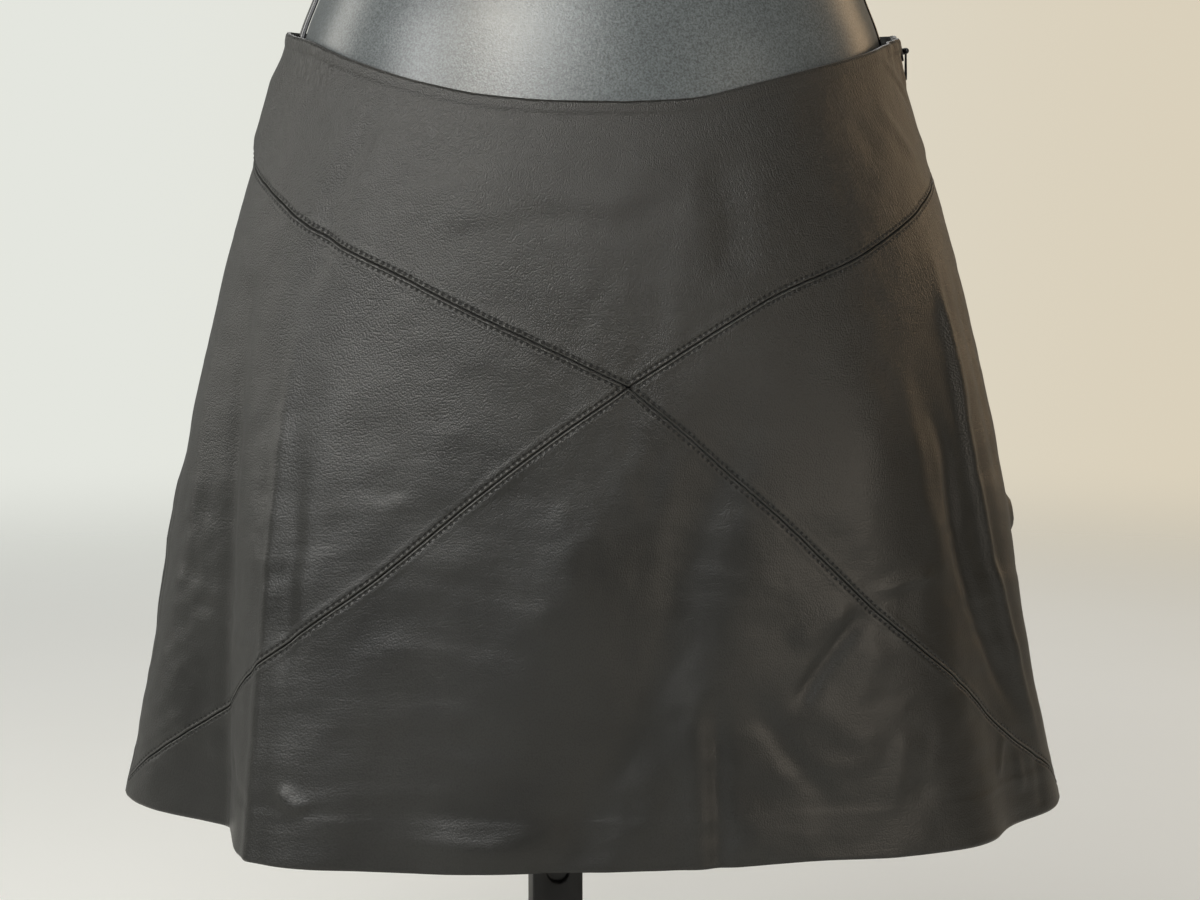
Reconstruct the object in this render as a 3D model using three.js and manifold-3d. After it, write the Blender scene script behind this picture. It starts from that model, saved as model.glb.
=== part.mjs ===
// A black leather mini skirt standing on a smooth display form, a square pole and a round base.
// Millimetres, +Z up. Z = 0 is the underside of the base and the front of the skirt faces -Y.
// Angles run round the Z axis from the front centre, positive toward +X, where the zip is.
// A drop is a height counted downward from the waist edge at the side of the skirt.

import * as THREE from "three";
import { mergeVertices } from "three/addons/utils/BufferGeometryUtils.js";
import Module from "manifold-3d";

const wasm = await Module();
wasm.setup();

// Driving dimensions of the skirt
const SIDE_WAIST_Z = 550;
const HEM_DROP = 378;
const LEATHER = 1.6;
const SEAM_GAP = 0.4;
const REST_GAP = 0.3;
const PLAIN_SEAM_ANGLE = -92;
const ZIP_SEAM_ANGLE = 84;
const COLUMN_STEP = 3.6;

// Level sections of the skirt without its folds: a flattened ring, wider than it is deep
const SECTIONS = [
  { drop: -10, halfWidth: 144.5, front: 104, back: 102, power: 2.1 },
  { drop: 0, halfWidth: 147, front: 106, back: 104, power: 2.1 },
  { drop: 25, halfWidth: 152, front: 111, back: 109, power: 2.1 },
  { drop: 60, halfWidth: 162.5, front: 118, back: 115, power: 2.15 },
  { drop: 120, halfWidth: 180, front: 127, back: 125, power: 2.2 },
  { drop: 200, halfWidth: 198, front: 134, back: 134, power: 2.3 },
  { drop: 280, halfWidth: 211, front: 139, back: 141, power: 2.35 },
  { drop: 378, halfWidth: 228, front: 143, back: 147, power: 2.4 },
];

// Flutes go in, ridges stand out. Each starts at its own drop and is deepest at the hem,
// and its angle moves from topAngle to hemAngle on the way down.
const FOLD_GROWTH = 1.3;
const FOLDS = [
  { name: "plain side spread", topAngle: -94, hemAngle: -94, halfWidth: 9, depth: 4, start: 200 },
  { name: "plain side flute", topAngle: -75, hemAngle: -72, halfWidth: 11, depth: -30, start: 60 },
  { name: "plain side front ridge", topAngle: -50, hemAngle: -46, halfWidth: 12, depth: 12, start: 100 },
  { name: "zip side flute", topAngle: 56, hemAngle: 70, halfWidth: 8, depth: -12, start: 90 },
  { name: "zip side ridge", topAngle: 66, hemAngle: 80, halfWidth: 6, depth: 3, start: 60 },
  { name: "zip side spread", topAngle: 92, hemAngle: 92, halfWidth: 10, depth: 6, start: 290 },
  { name: "back flute, zip side", topAngle: 124, hemAngle: 127, halfWidth: 12, depth: -17, start: 80 },
  { name: "back ridge, zip side", topAngle: 151, hemAngle: 149, halfWidth: 12, depth: 8, start: 120 },
  { name: "back flute, middle", topAngle: 184, hemAngle: 181, halfWidth: 13, depth: -9, start: 150 },
  { name: "back flute, plain side", topAngle: 233, hemAngle: 231, halfWidth: 12, depth: -21, start: 70 },
];

// Drops of the waist edge, the two crossing seams and the hem, by angle from the front centre
const CROSSING_DROP = 162;
const PLAIN_SIDE_SEAMS = [
  { angle: 0, waist: 35.5, yoke: CROSSING_DROP, lower: CROSSING_DROP, hem: HEM_DROP },
  { angle: 15, waist: 35, yoke: 145.5, lower: 186, hem: HEM_DROP },
  { angle: 30, waist: 32.5, yoke: 128.5, lower: 216, hem: HEM_DROP },
  { angle: 45, waist: 26, yoke: 110, lower: 254.5, hem: 376 },
  { angle: 60, waist: 16, yoke: 92.5, lower: 293, hem: 374 },
  { angle: 75, waist: 5.5, yoke: 73, lower: 321.5, hem: 371 },
  { angle: 92, waist: 0, yoke: 58, lower: 363, hem: 370 },
];
const ZIP_SIDE_SEAMS = [
  { angle: 0, waist: 35.5, yoke: CROSSING_DROP, lower: CROSSING_DROP, hem: HEM_DROP },
  { angle: 15, waist: 34, yoke: 141, lower: 192, hem: HEM_DROP },
  { angle: 30, waist: 27.5, yoke: 121.5, lower: 228, hem: 377 },
  { angle: 45, waist: 20, yoke: 107.5, lower: 271, hem: 379 },
  { angle: 60, waist: 12.5, yoke: 90, lower: 310, hem: 380 },
  { angle: 75, waist: 4.5, yoke: 72.5, lower: 348, hem: 379 },
  { angle: 84, waist: 1, yoke: 66, lower: 369, hem: 377 },
];
const BACK_WAIST_RISE = 4;
const BACK_HEM_SAG = 5;
const TIP_ANGLE = 0.5;

// Zip in the side seam: a tape behind the leather, a slider and a pull
const TAPE = { width: 22, thick: 1, top: 6, bottom: 236, rows: 12 };
const SLIDER = { drop: 9, width: 5.5, height: 9, thick: 1.3 };
const NECK = { width: 1.6, height: 4 };
const NOTCH = { width: 2.4, height: 5 };
const EAR = { thick: 0.9, spread: 3.4, radius: 1.5 };
const BAR_RADIUS = 0.5;
const BARREL = { radius: 1.5, bore: 0.85, length: 1.9 };
const PULL = { neckWidth: 1.8, neckLength: 3, width: 5, length: 14, thick: 1 };
const ROUND_STEPS = 16;

// The form: level sections from its cap at the natural waist down to its rounded lower end
const FORM_POWER = 2.05;
const FORM_COLUMNS = 60;
const FORM_SECTIONS = [
  { drop: -85, halfWidth: 113, front: 88, back: 84 },
  { drop: -50, halfWidth: 120, front: 92, back: 88 },
  { drop: -19, halfWidth: 130, front: 99, back: 96 },
  { drop: 0, halfWidth: 137.5, front: 104, back: 101.8 },
  { drop: 35, halfWidth: 147, front: 111.2, back: 107.5 },
  { drop: 60, halfWidth: 155.5, front: 115, back: 111.5 },
  { drop: 120, halfWidth: 169, front: 121, back: 121 },
  { drop: 200, halfWidth: 170, front: 116, back: 126 },
  { drop: 260, halfWidth: 157, front: 104, back: 117 },
  { drop: 300, halfWidth: 136, front: 88, back: 99 },
  { drop: 312, halfWidth: 118, front: 74, back: 84 },
  { drop: 316, halfWidth: 96, front: 58, back: 66 },
];
const FORM_DROPS = [-85, -68, -50, -34, -19, 0, 18, 35, 60, 90, 120, 160, 200, 230, 260, 282, 300, 312, 316];
const CAP_LAYERS = [
  { lift: 0, scale: 1 },
  { lift: 2.5, scale: 0.985 },
  { lift: 5, scale: 0.93 },
  { lift: 6, scale: 0.84 },
];
const RIM = { width: 6, proud: 3, bottomDrop: 282 };

// The stand
const POLE = { side: 25, x: -18, y: 10, socket: 60 };
const RECESS = { diameter: 11, depth: 2.5, z: 137 };
const BASE = { radius: 150, height: 10, chamfer: 2 };
const COLLAR = { radius: 28, height: 14 };

// A smooth curve through one column of a table that never overshoots its rows
function tableCurve(rows, key, column) {
  const x = rows.map((row) => row[key]);
  const y = rows.map((row) => row[column]);
  const secant = (i) => (y[i + 1] - y[i]) / (x[i + 1] - x[i]);
  const last = x.length - 1;
  const slope = x.map((_, i) => {
    if (i === 0) return secant(0);
    if (i === last) return secant(last - 1);
    const before = secant(i - 1);
    const after = secant(i);
    return before * after <= 0 ? 0 : (2 * before * after) / (before + after);
  });
  return (at) => {
    let i = 0;
    while (i < last - 1 && at > x[i + 1]) i += 1;
    const span = x[i + 1] - x[i];
    const t = Math.min(Math.max((at - x[i]) / span, 0), 1);
    const far = t * t * (3 - 2 * t);
    const leave = t * (1 - t) * (1 - t) * span;
    const arrive = t * t * (t - 1) * span;
    return y[i] * (1 - far) + y[i + 1] * far + slope[i] * leave + slope[i + 1] * arrive;
  };
}

const radians = THREE.MathUtils.degToRad;

// Distance from the axis to a flattened ring whose front and back depths may differ
function ringRadius(angle, halfWidth, front, back, power) {
  const side = Math.abs(Math.sin(radians(angle))) / halfWidth;
  const ahead = Math.cos(radians(angle));
  const depth = Math.abs(ahead) / (ahead >= 0 ? front : back);
  return (side ** power + depth ** power) ** (-1 / power);
}

// A point at an angle, a distance from the axis and a drop below the side waist edge
function ringPoint(angle, radius, drop) {
  const turn = radians(angle);
  return new THREE.Vector3(radius * Math.sin(turn), -radius * Math.cos(turn), SIDE_WAIST_Z - drop);
}

const section = Object.fromEntries(
  ["halfWidth", "front", "back", "power"].map((column) => [column, tableCurve(SECTIONS, "drop", column)]),
);

// How far all folds together push the leather out at one place
function foldOffset(angle, drop) {
  let offset = 0;
  for (const fold of FOLDS) {
    const grown = THREE.MathUtils.clamp((drop - fold.start) / (HEM_DROP - fold.start), 0, 1);
    const middle = THREE.MathUtils.lerp(fold.topAngle, fold.hemAngle, grown);
    const away = THREE.MathUtils.euclideanModulo(angle - middle + 180, 360) - 180;
    offset += fold.depth * grown ** FOLD_GROWTH * Math.exp(-((away / fold.halfWidth) ** 2));
  }
  return offset;
}

// A point on the outside of the skirt, or inset behind it by part of the leather
function skirtPoint(angle, drop, inset = 0) {
  const size = [section.halfWidth(drop), section.front(drop), section.back(drop), section.power(drop)];
  return ringPoint(angle, ringRadius(angle, ...size) + foldOffset(angle, drop) - inset, drop);
}

// Drop of a named seam or edge on the front of the skirt
function seamCurve(column) {
  const plainSide = tableCurve(PLAIN_SIDE_SEAMS, "angle", column);
  const zipSide = tableCurve(ZIP_SIDE_SEAMS, "angle", column);
  return (angle) => (angle < 0 ? plainSide(-angle) : zipSide(angle));
}

const waistDrop = seamCurve("waist");
const yokeDrop = seamCurve("yoke");
const lowerDrop = seamCurve("lower");
const hemDrop = seamCurve("hem");

// Drop of an edge of the back panel: it joins the front's ends and swells between them
function backCurve(column, swell) {
  const start = seamCurve(column)(ZIP_SEAM_ANGLE);
  const end = seamCurve(column)(PLAIN_SEAM_ANGLE);
  const span = PLAIN_SEAM_ANGLE + 360 - ZIP_SEAM_ANGLE;
  return (angle) => {
    const along = (angle - ZIP_SEAM_ANGLE) / span;
    return THREE.MathUtils.lerp(start, end, along) + swell * Math.sin(Math.PI * along);
  };
}

// Angles from one seam to another in even steps
function columnsBetween(from, to) {
  const count = Math.max(Math.round((to - from) / COLUMN_STEP), 1);
  return Array.from({ length: count + 1 }, (_, i) => THREE.MathUtils.lerp(from, to, i / count));
}

function geometryFrom(points, faces) {
  const geometry = new THREE.BufferGeometry();
  geometry.setAttribute("position", new THREE.Float32BufferAttribute(points.flatMap((p) => p.toArray()), 3));
  geometry.setIndex(faces);
  geometry.computeVertexNormals();
  return geometry;
}

// A closed wall between two grids of points, grid[column][row], columns rightward and rows upward
function closedWall(outer, inner) {
  const columns = outer.length;
  const rows = outer[0].length;
  const points = [...outer.flat(), ...inner.flat()];
  const out = (i, j) => i * rows + j;
  const back = (i, j) => columns * rows + i * rows + j;
  const faces = [];
  const quad = (a, b, c, d) => faces.push(a, b, c, a, c, d);
  for (let i = 0; i < columns - 1; i += 1) {
    for (let j = 0; j < rows - 1; j += 1) {
      quad(out(i, j), out(i + 1, j), out(i + 1, j + 1), out(i, j + 1));
      faces.push(back(i, j), back(i + 1, j + 1), back(i + 1, j));
      faces.push(back(i, j), back(i, j + 1), back(i + 1, j + 1));
    }
    quad(out(i + 1, 0), out(i, 0), back(i, 0), back(i + 1, 0));
    quad(out(i, rows - 1), out(i + 1, rows - 1), back(i + 1, rows - 1), back(i, rows - 1));
  }
  for (let j = 0; j < rows - 1; j += 1) {
    quad(out(0, j), out(0, j + 1), back(0, j + 1), back(0, j));
    quad(out(columns - 1, j + 1), out(columns - 1, j), back(columns - 1, j), back(columns - 1, j + 1));
  }
  return geometryFrom(points, faces);
}

// A closed body through level rings, listed upward, each a list of points going round
function closedLoft(rings) {
  const count = rings[0].length;
  const points = rings.flat();
  const middle = (ring) => ring.reduce((sum, p) => sum.add(p), new THREE.Vector3()).divideScalar(count);
  const bottom = points.push(middle(rings[0])) - 1;
  const top = points.push(middle(rings.at(-1))) - 1;
  const faces = [];
  for (let i = 0; i < count; i += 1) {
    const next = (i + 1) % count;
    for (let k = 0; k < rings.length - 1; k += 1) {
      const low = k * count;
      const high = low + count;
      faces.push(low + i, low + next, high + next, low + i, high + next, high + i);
    }
    const crown = (rings.length - 1) * count;
    faces.push(bottom, next, i, top, crown + i, crown + next);
  }
  return geometryFrom(points, faces);
}

// A panel of leather between two seam curves and two side angles
function leatherPanel(columns, rows, upper, lower, upperGap, lowerGap) {
  const grid = (inset) =>
    columns.map((angle, i) =>
      Array.from({ length: rows + 1 }, (_, j) => {
        const top = upper(angle) + upperGap;
        const bottom = lower(angle) - lowerGap;
        const drop = THREE.MathUtils.lerp(bottom, top, j / rows);
        const radius = Math.hypot(skirtPoint(angle, drop).x, skirtPoint(angle, drop).y);
        const trim = THREE.MathUtils.radToDeg(SEAM_GAP / 2 / radius);
        const atSeam = (i === 0 ? trim : 0) - (i === columns.length - 1 ? trim : 0);
        return skirtPoint(angle + atSeam, drop, inset);
      }),
    );
  return closedWall(grid(0), grid(LEATHER));
}

const seamHalf = SEAM_GAP / 2;
const plainHalf = columnsBetween(PLAIN_SEAM_ANGLE, 0);
const zipHalf = columnsBetween(0, ZIP_SEAM_ANGLE);
const frontColumns = [...plainHalf, ...zipHalf.slice(1)];
const backColumns = columnsBetween(ZIP_SEAM_ANGLE, PLAIN_SEAM_ANGLE + 360);

const yokeShape = leatherPanel(frontColumns, 7, waistDrop, yokeDrop, 0, seamHalf);
const plainPanelShape = leatherPanel(
  [...plainHalf.slice(0, -1), -TIP_ANGLE], 11, yokeDrop, lowerDrop, seamHalf, seamHalf,
);
const zipPanelShape = leatherPanel(
  [TIP_ANGLE, ...zipHalf.slice(1)], 11, yokeDrop, lowerDrop, seamHalf, seamHalf,
);
const hemPanelShape = leatherPanel(frontColumns, 8, lowerDrop, hemDrop, seamHalf, 0);
const backShape = leatherPanel(
  backColumns, 14, backCurve("waist", -BACK_WAIST_RISE), backCurve("hem", BACK_HEM_SAG), 0, 0,
);

// Boolean work on closed geometries, given in place
function toSolid(geometry) {
  const bare = geometry.clone();
  bare.deleteAttribute("normal");
  bare.deleteAttribute("uv");
  const merged = mergeVertices(bare.index ? bare.toNonIndexed() : bare, 1e-4);
  return new wasm.Manifold(new wasm.Mesh({
    numProp: 3,
    vertProperties: new Float32Array(merged.attributes.position.array),
    triVerts: new Uint32Array(merged.index.array),
  }));
}

function toGeometry(solid) {
  const mesh = solid.getMesh();
  const geometry = new THREE.BufferGeometry();
  geometry.setAttribute("position", new THREE.BufferAttribute(new Float32Array(mesh.vertProperties), 3));
  geometry.setIndex(new THREE.BufferAttribute(new Uint32Array(mesh.triVerts), 1));
  geometry.computeVertexNormals();
  return geometry;
}

const cut = (body, tool) => toGeometry(toSolid(body).subtract(toSolid(tool)));
const join = (...bodies) => toGeometry(bodies.map(toSolid).reduce((sum, next) => sum.add(next)));

// The slider's own axes on the leather: u along the waist, v up the seam, n outward
function leatherFrame(angle, drop) {
  const step = 0.5;
  const middle = skirtPoint(angle, drop);
  const u = skirtPoint(angle + step, drop).sub(skirtPoint(angle - step, drop)).normalize();
  const up = skirtPoint(angle, drop - step).sub(skirtPoint(angle, drop + step));
  const n = new THREE.Vector3().crossVectors(u, up).normalize();
  const v = new THREE.Vector3().crossVectors(n, u);
  return new THREE.Matrix4().makeBasis(u, v, n).setPosition(middle);
}

const sliderFrame = leatherFrame(ZIP_SEAM_ANGLE, SLIDER.drop);

function box(width, height, depth, x, y, z) {
  return new THREE.BoxGeometry(width, height, depth).translate(x, y, z);
}

// A rod along u through a point of the slider's frame
function rod(radius, length, y, z) {
  const shape = new THREE.CylinderGeometry(radius, radius, length, ROUND_STEPS);
  return shape.rotateZ(Math.PI / 2).translate(0, y, z);
}

const sliderTop = REST_GAP + SLIDER.thick;
const barHeight = sliderTop + REST_GAP + BARREL.radius;
const neckLength = LEATHER + REST_GAP + SLIDER.thick / 2;

function sliderGeometry() {
  const plate = box(SLIDER.width, SLIDER.height, SLIDER.thick, 0, 0, REST_GAP + SLIDER.thick / 2);
  const neck = box(NECK.width, NECK.height, neckLength, 0, 0, sliderTop - SLIDER.thick / 2 - neckLength / 2);
  const ears = [-1, 1].map((side) => {
    const x = (side * EAR.spread) / 2;
    const post = box(EAR.thick, 2 * EAR.radius, barHeight - REST_GAP, x, 0, (barHeight + REST_GAP) / 2);
    return join(post, rod(EAR.radius, EAR.thick, 0, barHeight).translate(x, 0, 0));
  });
  return join(plate, neck, ...ears, rod(BAR_RADIUS, EAR.spread, 0, barHeight)).applyMatrix4(sliderFrame);
}

// The pull hangs from the bar and its tip lies just off the leather
const pivot = new THREE.Vector3(0, 0, barHeight).applyMatrix4(sliderFrame);
const tipRest = new THREE.Vector3(0, 0, REST_GAP + PULL.thick / 2).applyMatrix4(
  leatherFrame(ZIP_SEAM_ANGLE, SLIDER.drop + PULL.length),
);

function pullGeometry() {
  const u = new THREE.Vector3().setFromMatrixColumn(sliderFrame, 0);
  const up = pivot.clone().sub(tipRest).normalize();
  const n = new THREE.Vector3().crossVectors(u, up).normalize();
  const v = new THREE.Vector3().crossVectors(n, u);
  const outline = new THREE.Shape();
  const half = PULL.width / 2;
  const neck = PULL.neckWidth / 2;
  outline.moveTo(-neck, 0);
  outline.lineTo(-neck, -PULL.neckLength);
  outline.lineTo(-half, half - PULL.length);
  outline.absarc(0, half - PULL.length, half, Math.PI, 2 * Math.PI, false);
  outline.lineTo(neck, -PULL.neckLength);
  outline.lineTo(neck, 0);
  const flat = { depth: PULL.thick, bevelEnabled: false, curveSegments: 8 };
  const tab = new THREE.ExtrudeGeometry(outline, flat).translate(0, 0, -PULL.thick / 2);
  const barrel = join(tab, rod(BARREL.radius, BARREL.length, 0, 0));
  const bored = cut(barrel, rod(BARREL.bore, 2 * BARREL.length, 0, 0));
  return bored.applyMatrix4(new THREE.Matrix4().makeBasis(u, v, n).setPosition(pivot));
}

function tapeGeometry() {
  const columns = [-1, -0.5, 0, 0.5, 1];
  const grid = (inset) =>
    columns.map((across) =>
      Array.from({ length: TAPE.rows + 1 }, (_, j) => {
        const drop = THREE.MathUtils.lerp(TAPE.bottom, TAPE.top, j / TAPE.rows);
        const middle = skirtPoint(ZIP_SEAM_ANGLE, drop);
        const spread = THREE.MathUtils.radToDeg(TAPE.width / 2 / Math.hypot(middle.x, middle.y));
        return skirtPoint(ZIP_SEAM_ANGLE + across * spread, drop, inset);
      }),
    );
  const front = LEATHER + REST_GAP;
  return closedWall(grid(front), grid(front + TAPE.thick));
}

const notch = box(NOTCH.width, NOTCH.height, 6 * LEATHER, 0, 0, 0).applyMatrix4(sliderFrame);
const notchedYoke = cut(yokeShape, notch);
const notchedBack = cut(backShape, notch);

// The form and what is on it
const formSize = Object.fromEntries(
  ["halfWidth", "front", "back"].map((column) => [column, tableCurve(FORM_SECTIONS, "drop", column)]),
);

function formRing(drop, scale = 1, lift = 0) {
  const size = [formSize.halfWidth(drop), formSize.front(drop), formSize.back(drop), FORM_POWER];
  return Array.from({ length: FORM_COLUMNS }, (_, i) => {
    const angle = (i * 360) / FORM_COLUMNS;
    return ringPoint(angle, ringRadius(angle, ...size) * scale, drop - lift);
  });
}

const poleTop = SIDE_WAIST_Z - FORM_SECTIONS.at(-1).drop + POLE.socket;

function squareBar(side, from, to) {
  return new THREE.BoxGeometry(side, side, to - from).translate(POLE.x, POLE.y, (from + to) / 2);
}

function torsoGeometry() {
  const body = closedLoft([...FORM_DROPS].reverse().map((drop) => formRing(drop)));
  const socket = squareBar(POLE.side + 2 * REST_GAP, 0, poleTop + REST_GAP);
  return cut(body, socket);
}

function capGeometry() {
  const topDrop = FORM_DROPS[0];
  return closedLoft(CAP_LAYERS.map((layer) => formRing(topDrop, layer.scale, layer.lift + REST_GAP)));
}

// A narrow raised rim down one side of the form
function rimGeometry(side) {
  const drops = FORM_DROPS.filter((drop) => drop <= RIM.bottomDrop).reverse();
  const grid = (proud) =>
    [-side, side].map((across) =>
      drops.map((drop) => new THREE.Vector3(
        side * (formSize.halfWidth(drop) + proud),
        (across * RIM.width) / 2,
        SIDE_WAIST_Z - drop,
      )),
    );
  return closedWall(grid(REST_GAP + RIM.proud), grid(REST_GAP));
}

// The stand
function poleGeometry() {
  const bar = squareBar(POLE.side, BASE.height + REST_GAP, poleTop);
  const recess = new THREE.CylinderGeometry(RECESS.diameter / 2, RECESS.diameter / 2, 2 * RECESS.depth, 24);
  return cut(bar, recess.translate(POLE.x, POLE.y - POLE.side / 2, RECESS.z));
}

function baseGeometry() {
  const { radius, height, chamfer } = BASE;
  const profile = [
    [0, 0],
    [radius, 0],
    [radius, height - chamfer],
    [radius - chamfer, height],
    [0, height],
  ].map(([r, z]) => new THREE.Vector2(r, z));
  return new THREE.LatheGeometry(profile, 64).rotateX(Math.PI / 2);
}

function collarGeometry() {
  const from = BASE.height + REST_GAP;
  const disc = new THREE.CylinderGeometry(COLLAR.radius, COLLAR.radius, COLLAR.height, 32);
  disc.rotateX(Math.PI / 2).translate(POLE.x, POLE.y, from + COLLAR.height / 2);
  return cut(disc, squareBar(POLE.side + 2 * REST_GAP, 0, from + 2 * COLLAR.height));
}

// Materials
const finish = (color, roughness, metalness) => () =>
  new THREE.MeshStandardMaterial({ color, roughness, metalness });
const leather = finish("#32312f", 0.42, 0);
const tapeCloth = finish("#1b1b1d", 0.9, 0);
const zipMetal = finish("#2a2a2c", 0.35, 0.8);
const formPlastic = finish("#4c4f55", 0.5, 0);
const glossPlastic = finish("#101012", 0.2, 0);
const blackSteel = finish("#17171a", 0.45, 0.6);

const skirt = new THREE.Group();

function addPart(name, geometry, material) {
  const mesh = new THREE.Mesh(geometry, material);
  mesh.name = name;
  skirt.add(mesh);
}

addPart("front_yoke", notchedYoke, leather());
addPart("front_panel_plain_side", plainPanelShape, leather());
addPart("front_panel_zip_side", zipPanelShape, leather());
addPart("front_hem_panel", hemPanelShape, leather());
addPart("back_panel", notchedBack, leather());
addPart("zip_tape", tapeGeometry(), tapeCloth());
addPart("zip_slider", sliderGeometry(), zipMetal());
addPart("zip_pull", pullGeometry(), zipMetal());
addPart("form_torso", torsoGeometry(), formPlastic());
addPart("form_cap", capGeometry(), glossPlastic());
addPart("form_rim_plain_side", rimGeometry(-1), glossPlastic());
addPart("form_rim_zip_side", rimGeometry(1), glossPlastic());
addPart("stand_pole", poleGeometry(), blackSteel());
addPart("stand_collar", collarGeometry(), blackSteel());
addPart("stand_base", baseGeometry(), blackSteel());

export default skirt;
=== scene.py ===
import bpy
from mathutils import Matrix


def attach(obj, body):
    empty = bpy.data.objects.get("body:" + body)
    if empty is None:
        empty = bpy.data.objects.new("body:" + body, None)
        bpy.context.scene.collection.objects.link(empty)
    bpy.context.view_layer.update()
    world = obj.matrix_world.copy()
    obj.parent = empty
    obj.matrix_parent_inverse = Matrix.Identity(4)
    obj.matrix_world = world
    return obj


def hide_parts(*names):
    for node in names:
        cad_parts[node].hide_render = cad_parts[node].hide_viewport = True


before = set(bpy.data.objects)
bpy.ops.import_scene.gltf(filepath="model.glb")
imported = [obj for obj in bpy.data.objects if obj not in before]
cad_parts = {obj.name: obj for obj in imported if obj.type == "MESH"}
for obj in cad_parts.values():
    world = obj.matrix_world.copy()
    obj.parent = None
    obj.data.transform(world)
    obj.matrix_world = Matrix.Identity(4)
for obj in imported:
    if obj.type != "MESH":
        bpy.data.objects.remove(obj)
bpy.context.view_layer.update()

import math

import bmesh
import bpy
import numpy as np
from mathutils import Vector

# ---- Base plate ----
# A round disc of 10 mm steel that gives the stand its weight. It is cut with its top edge
# eased over and then powder coated, which leaves a fine orange-peel skin.

MM = 0.001
SKIRT = "skirt_and_form"
BASE_RADIUS, BASE_HEIGHT, BASE_EASE, BASE_FOOT, BASE_MIDDLE = 150.0, 10.0, 2.0, 0.6, 60


def make_object(name, points, faces, maps=(), sharp=35):
    """A smooth mesh object from points in mm and faces, with maps that hold one pair for each point."""
    mesh = bpy.data.meshes.new(name)
    mesh.vertices.add(len(points))
    mesh.vertices.foreach_set("co", np.ascontiguousarray(points * MM, np.float32).ravel())
    corners = np.concatenate([group.ravel() for group in faces])
    sizes = np.concatenate([np.full(len(group), group.shape[1]) for group in faces])
    mesh.loops.add(len(corners))
    mesh.loops.foreach_set("vertex_index", corners.astype(np.int32))
    mesh.polygons.add(len(sizes))
    mesh.polygons.foreach_set("loop_start", (np.cumsum(sizes) - sizes).astype(np.int32))
    for title, pairs in maps:
        layer = mesh.uv_layers.new(name=title)
        layer.data.foreach_set("uv", (pairs[corners] * MM).astype(np.float32).ravel())
    mesh.update(calc_edges=True)
    mesh.polygons.foreach_set("use_smooth", np.ones(len(sizes), bool))
    mesh.set_sharp_from_angle(angle=math.radians(sharp))
    made = bpy.data.objects.new(name, mesh)
    bpy.context.scene.collection.objects.link(made)
    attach(made, SKIRT)
    return made


def closed_rings(rings):
    """Faces of a closed body through level rings of points, listed upward, with a fan on each end."""
    levels, count = rings.shape[:2]
    index = np.arange(levels * count).reshape(levels, count)
    beside = np.roll(index, -1, axis=1)
    wall = np.stack([index[:-1], beside[:-1], beside[1:], index[1:]], -1).reshape(-1, 4)
    low, high = levels * count, levels * count + 1
    under = np.stack([np.full(count, low), beside[0], index[0]], -1)
    over = np.stack([np.full(count, high), index[-1], beside[-1]], -1)
    points = np.concatenate([rings.reshape(-1, 3), rings[[0, -1]].mean(axis=1)])
    return points, [wall, under, over]


def turned_rings(profile, count=160):
    """Turns a profile of (radius, height) points about the Z axis."""
    turn = np.linspace(0, 2 * math.pi, count, endpoint=False)
    radius, height = np.array(profile, float).T
    flat = radius[:, None, None] * np.stack([np.cos(turn), np.sin(turn)], -1)[None]
    return np.concatenate([flat, np.broadcast_to(height[:, None, None], flat[..., :1].shape)], -1)


def eased(corner, radius, start, end, steps=7):
    """A quarter round of a profile about its centre, from one direction to another in degrees."""
    turn = np.radians(np.linspace(start, end, steps))
    return [(corner[0] + radius * math.cos(t), corner[1] + radius * math.sin(t)) for t in turn]


def to_linear(code):
    """An sRGB hex colour as the linear colour that the shader works in."""
    channels = [int(code[i:i + 2], 16) / 255 for i in (1, 3, 5)]
    return (*[c / 12.92 if c <= 0.04045 else ((c + 0.055) / 1.055) ** 2.4 for c in channels], 1.0)


def add(tree, kind, values=None, **properties):
    """Adds one node: properties first, then each input by name or number as a value or a linked socket."""
    made = tree.nodes.new(kind)
    for key, value in properties.items():
        setattr(made, key, value)
    for key, value in (values or {}).items():
        if isinstance(value, bpy.types.NodeSocket):
            tree.links.new(value, made.inputs[key])
        else:
            made.inputs[key].default_value = value
    return made


def start_material(name, **sockets):
    """A material with one Principled shader and the sockets that are the same all over."""
    material = bpy.data.materials.new(name)
    material.use_nodes = True
    tree = material.node_tree
    tree.nodes.clear()
    shader = add(tree, "ShaderNodeBsdfPrincipled", {k.replace("_", " "): v for k, v in sockets.items()})
    add(tree, "ShaderNodeOutputMaterial", {"Surface": shader.outputs["BSDF"]})
    return material, tree, shader


def link_to(tree, socket, shader, name):
    tree.links.new(socket, shader.inputs[name])


def surface(tree, shader, tones, gloss=None, relief=None):
    """Drives a shader by maps: (map, darkest, palest), (map, least and most roughness) and (map, bump
    strength, depth in mm)."""
    ends = {6: to_linear(tones[1]), 7: to_linear(tones[2])}
    tint = add(tree, "ShaderNodeMix", {0: tones[0], **ends}, data_type="RGBA")
    link_to(tree, tint.outputs[2], shader, "Base Color")
    if gloss:
        rough = add(tree, "ShaderNodeMapRange", {0: gloss[0], 3: gloss[1], 4: gloss[2]})
        link_to(tree, rough.outputs[0], shader, "Roughness")
    if relief:
        height, strength, depth = relief
        bump = add(tree, "ShaderNodeBump", {"Height": height, "Strength": strength, "Distance": depth * MM})
        link_to(tree, bump.outputs[0], shader, "Normal")


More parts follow.
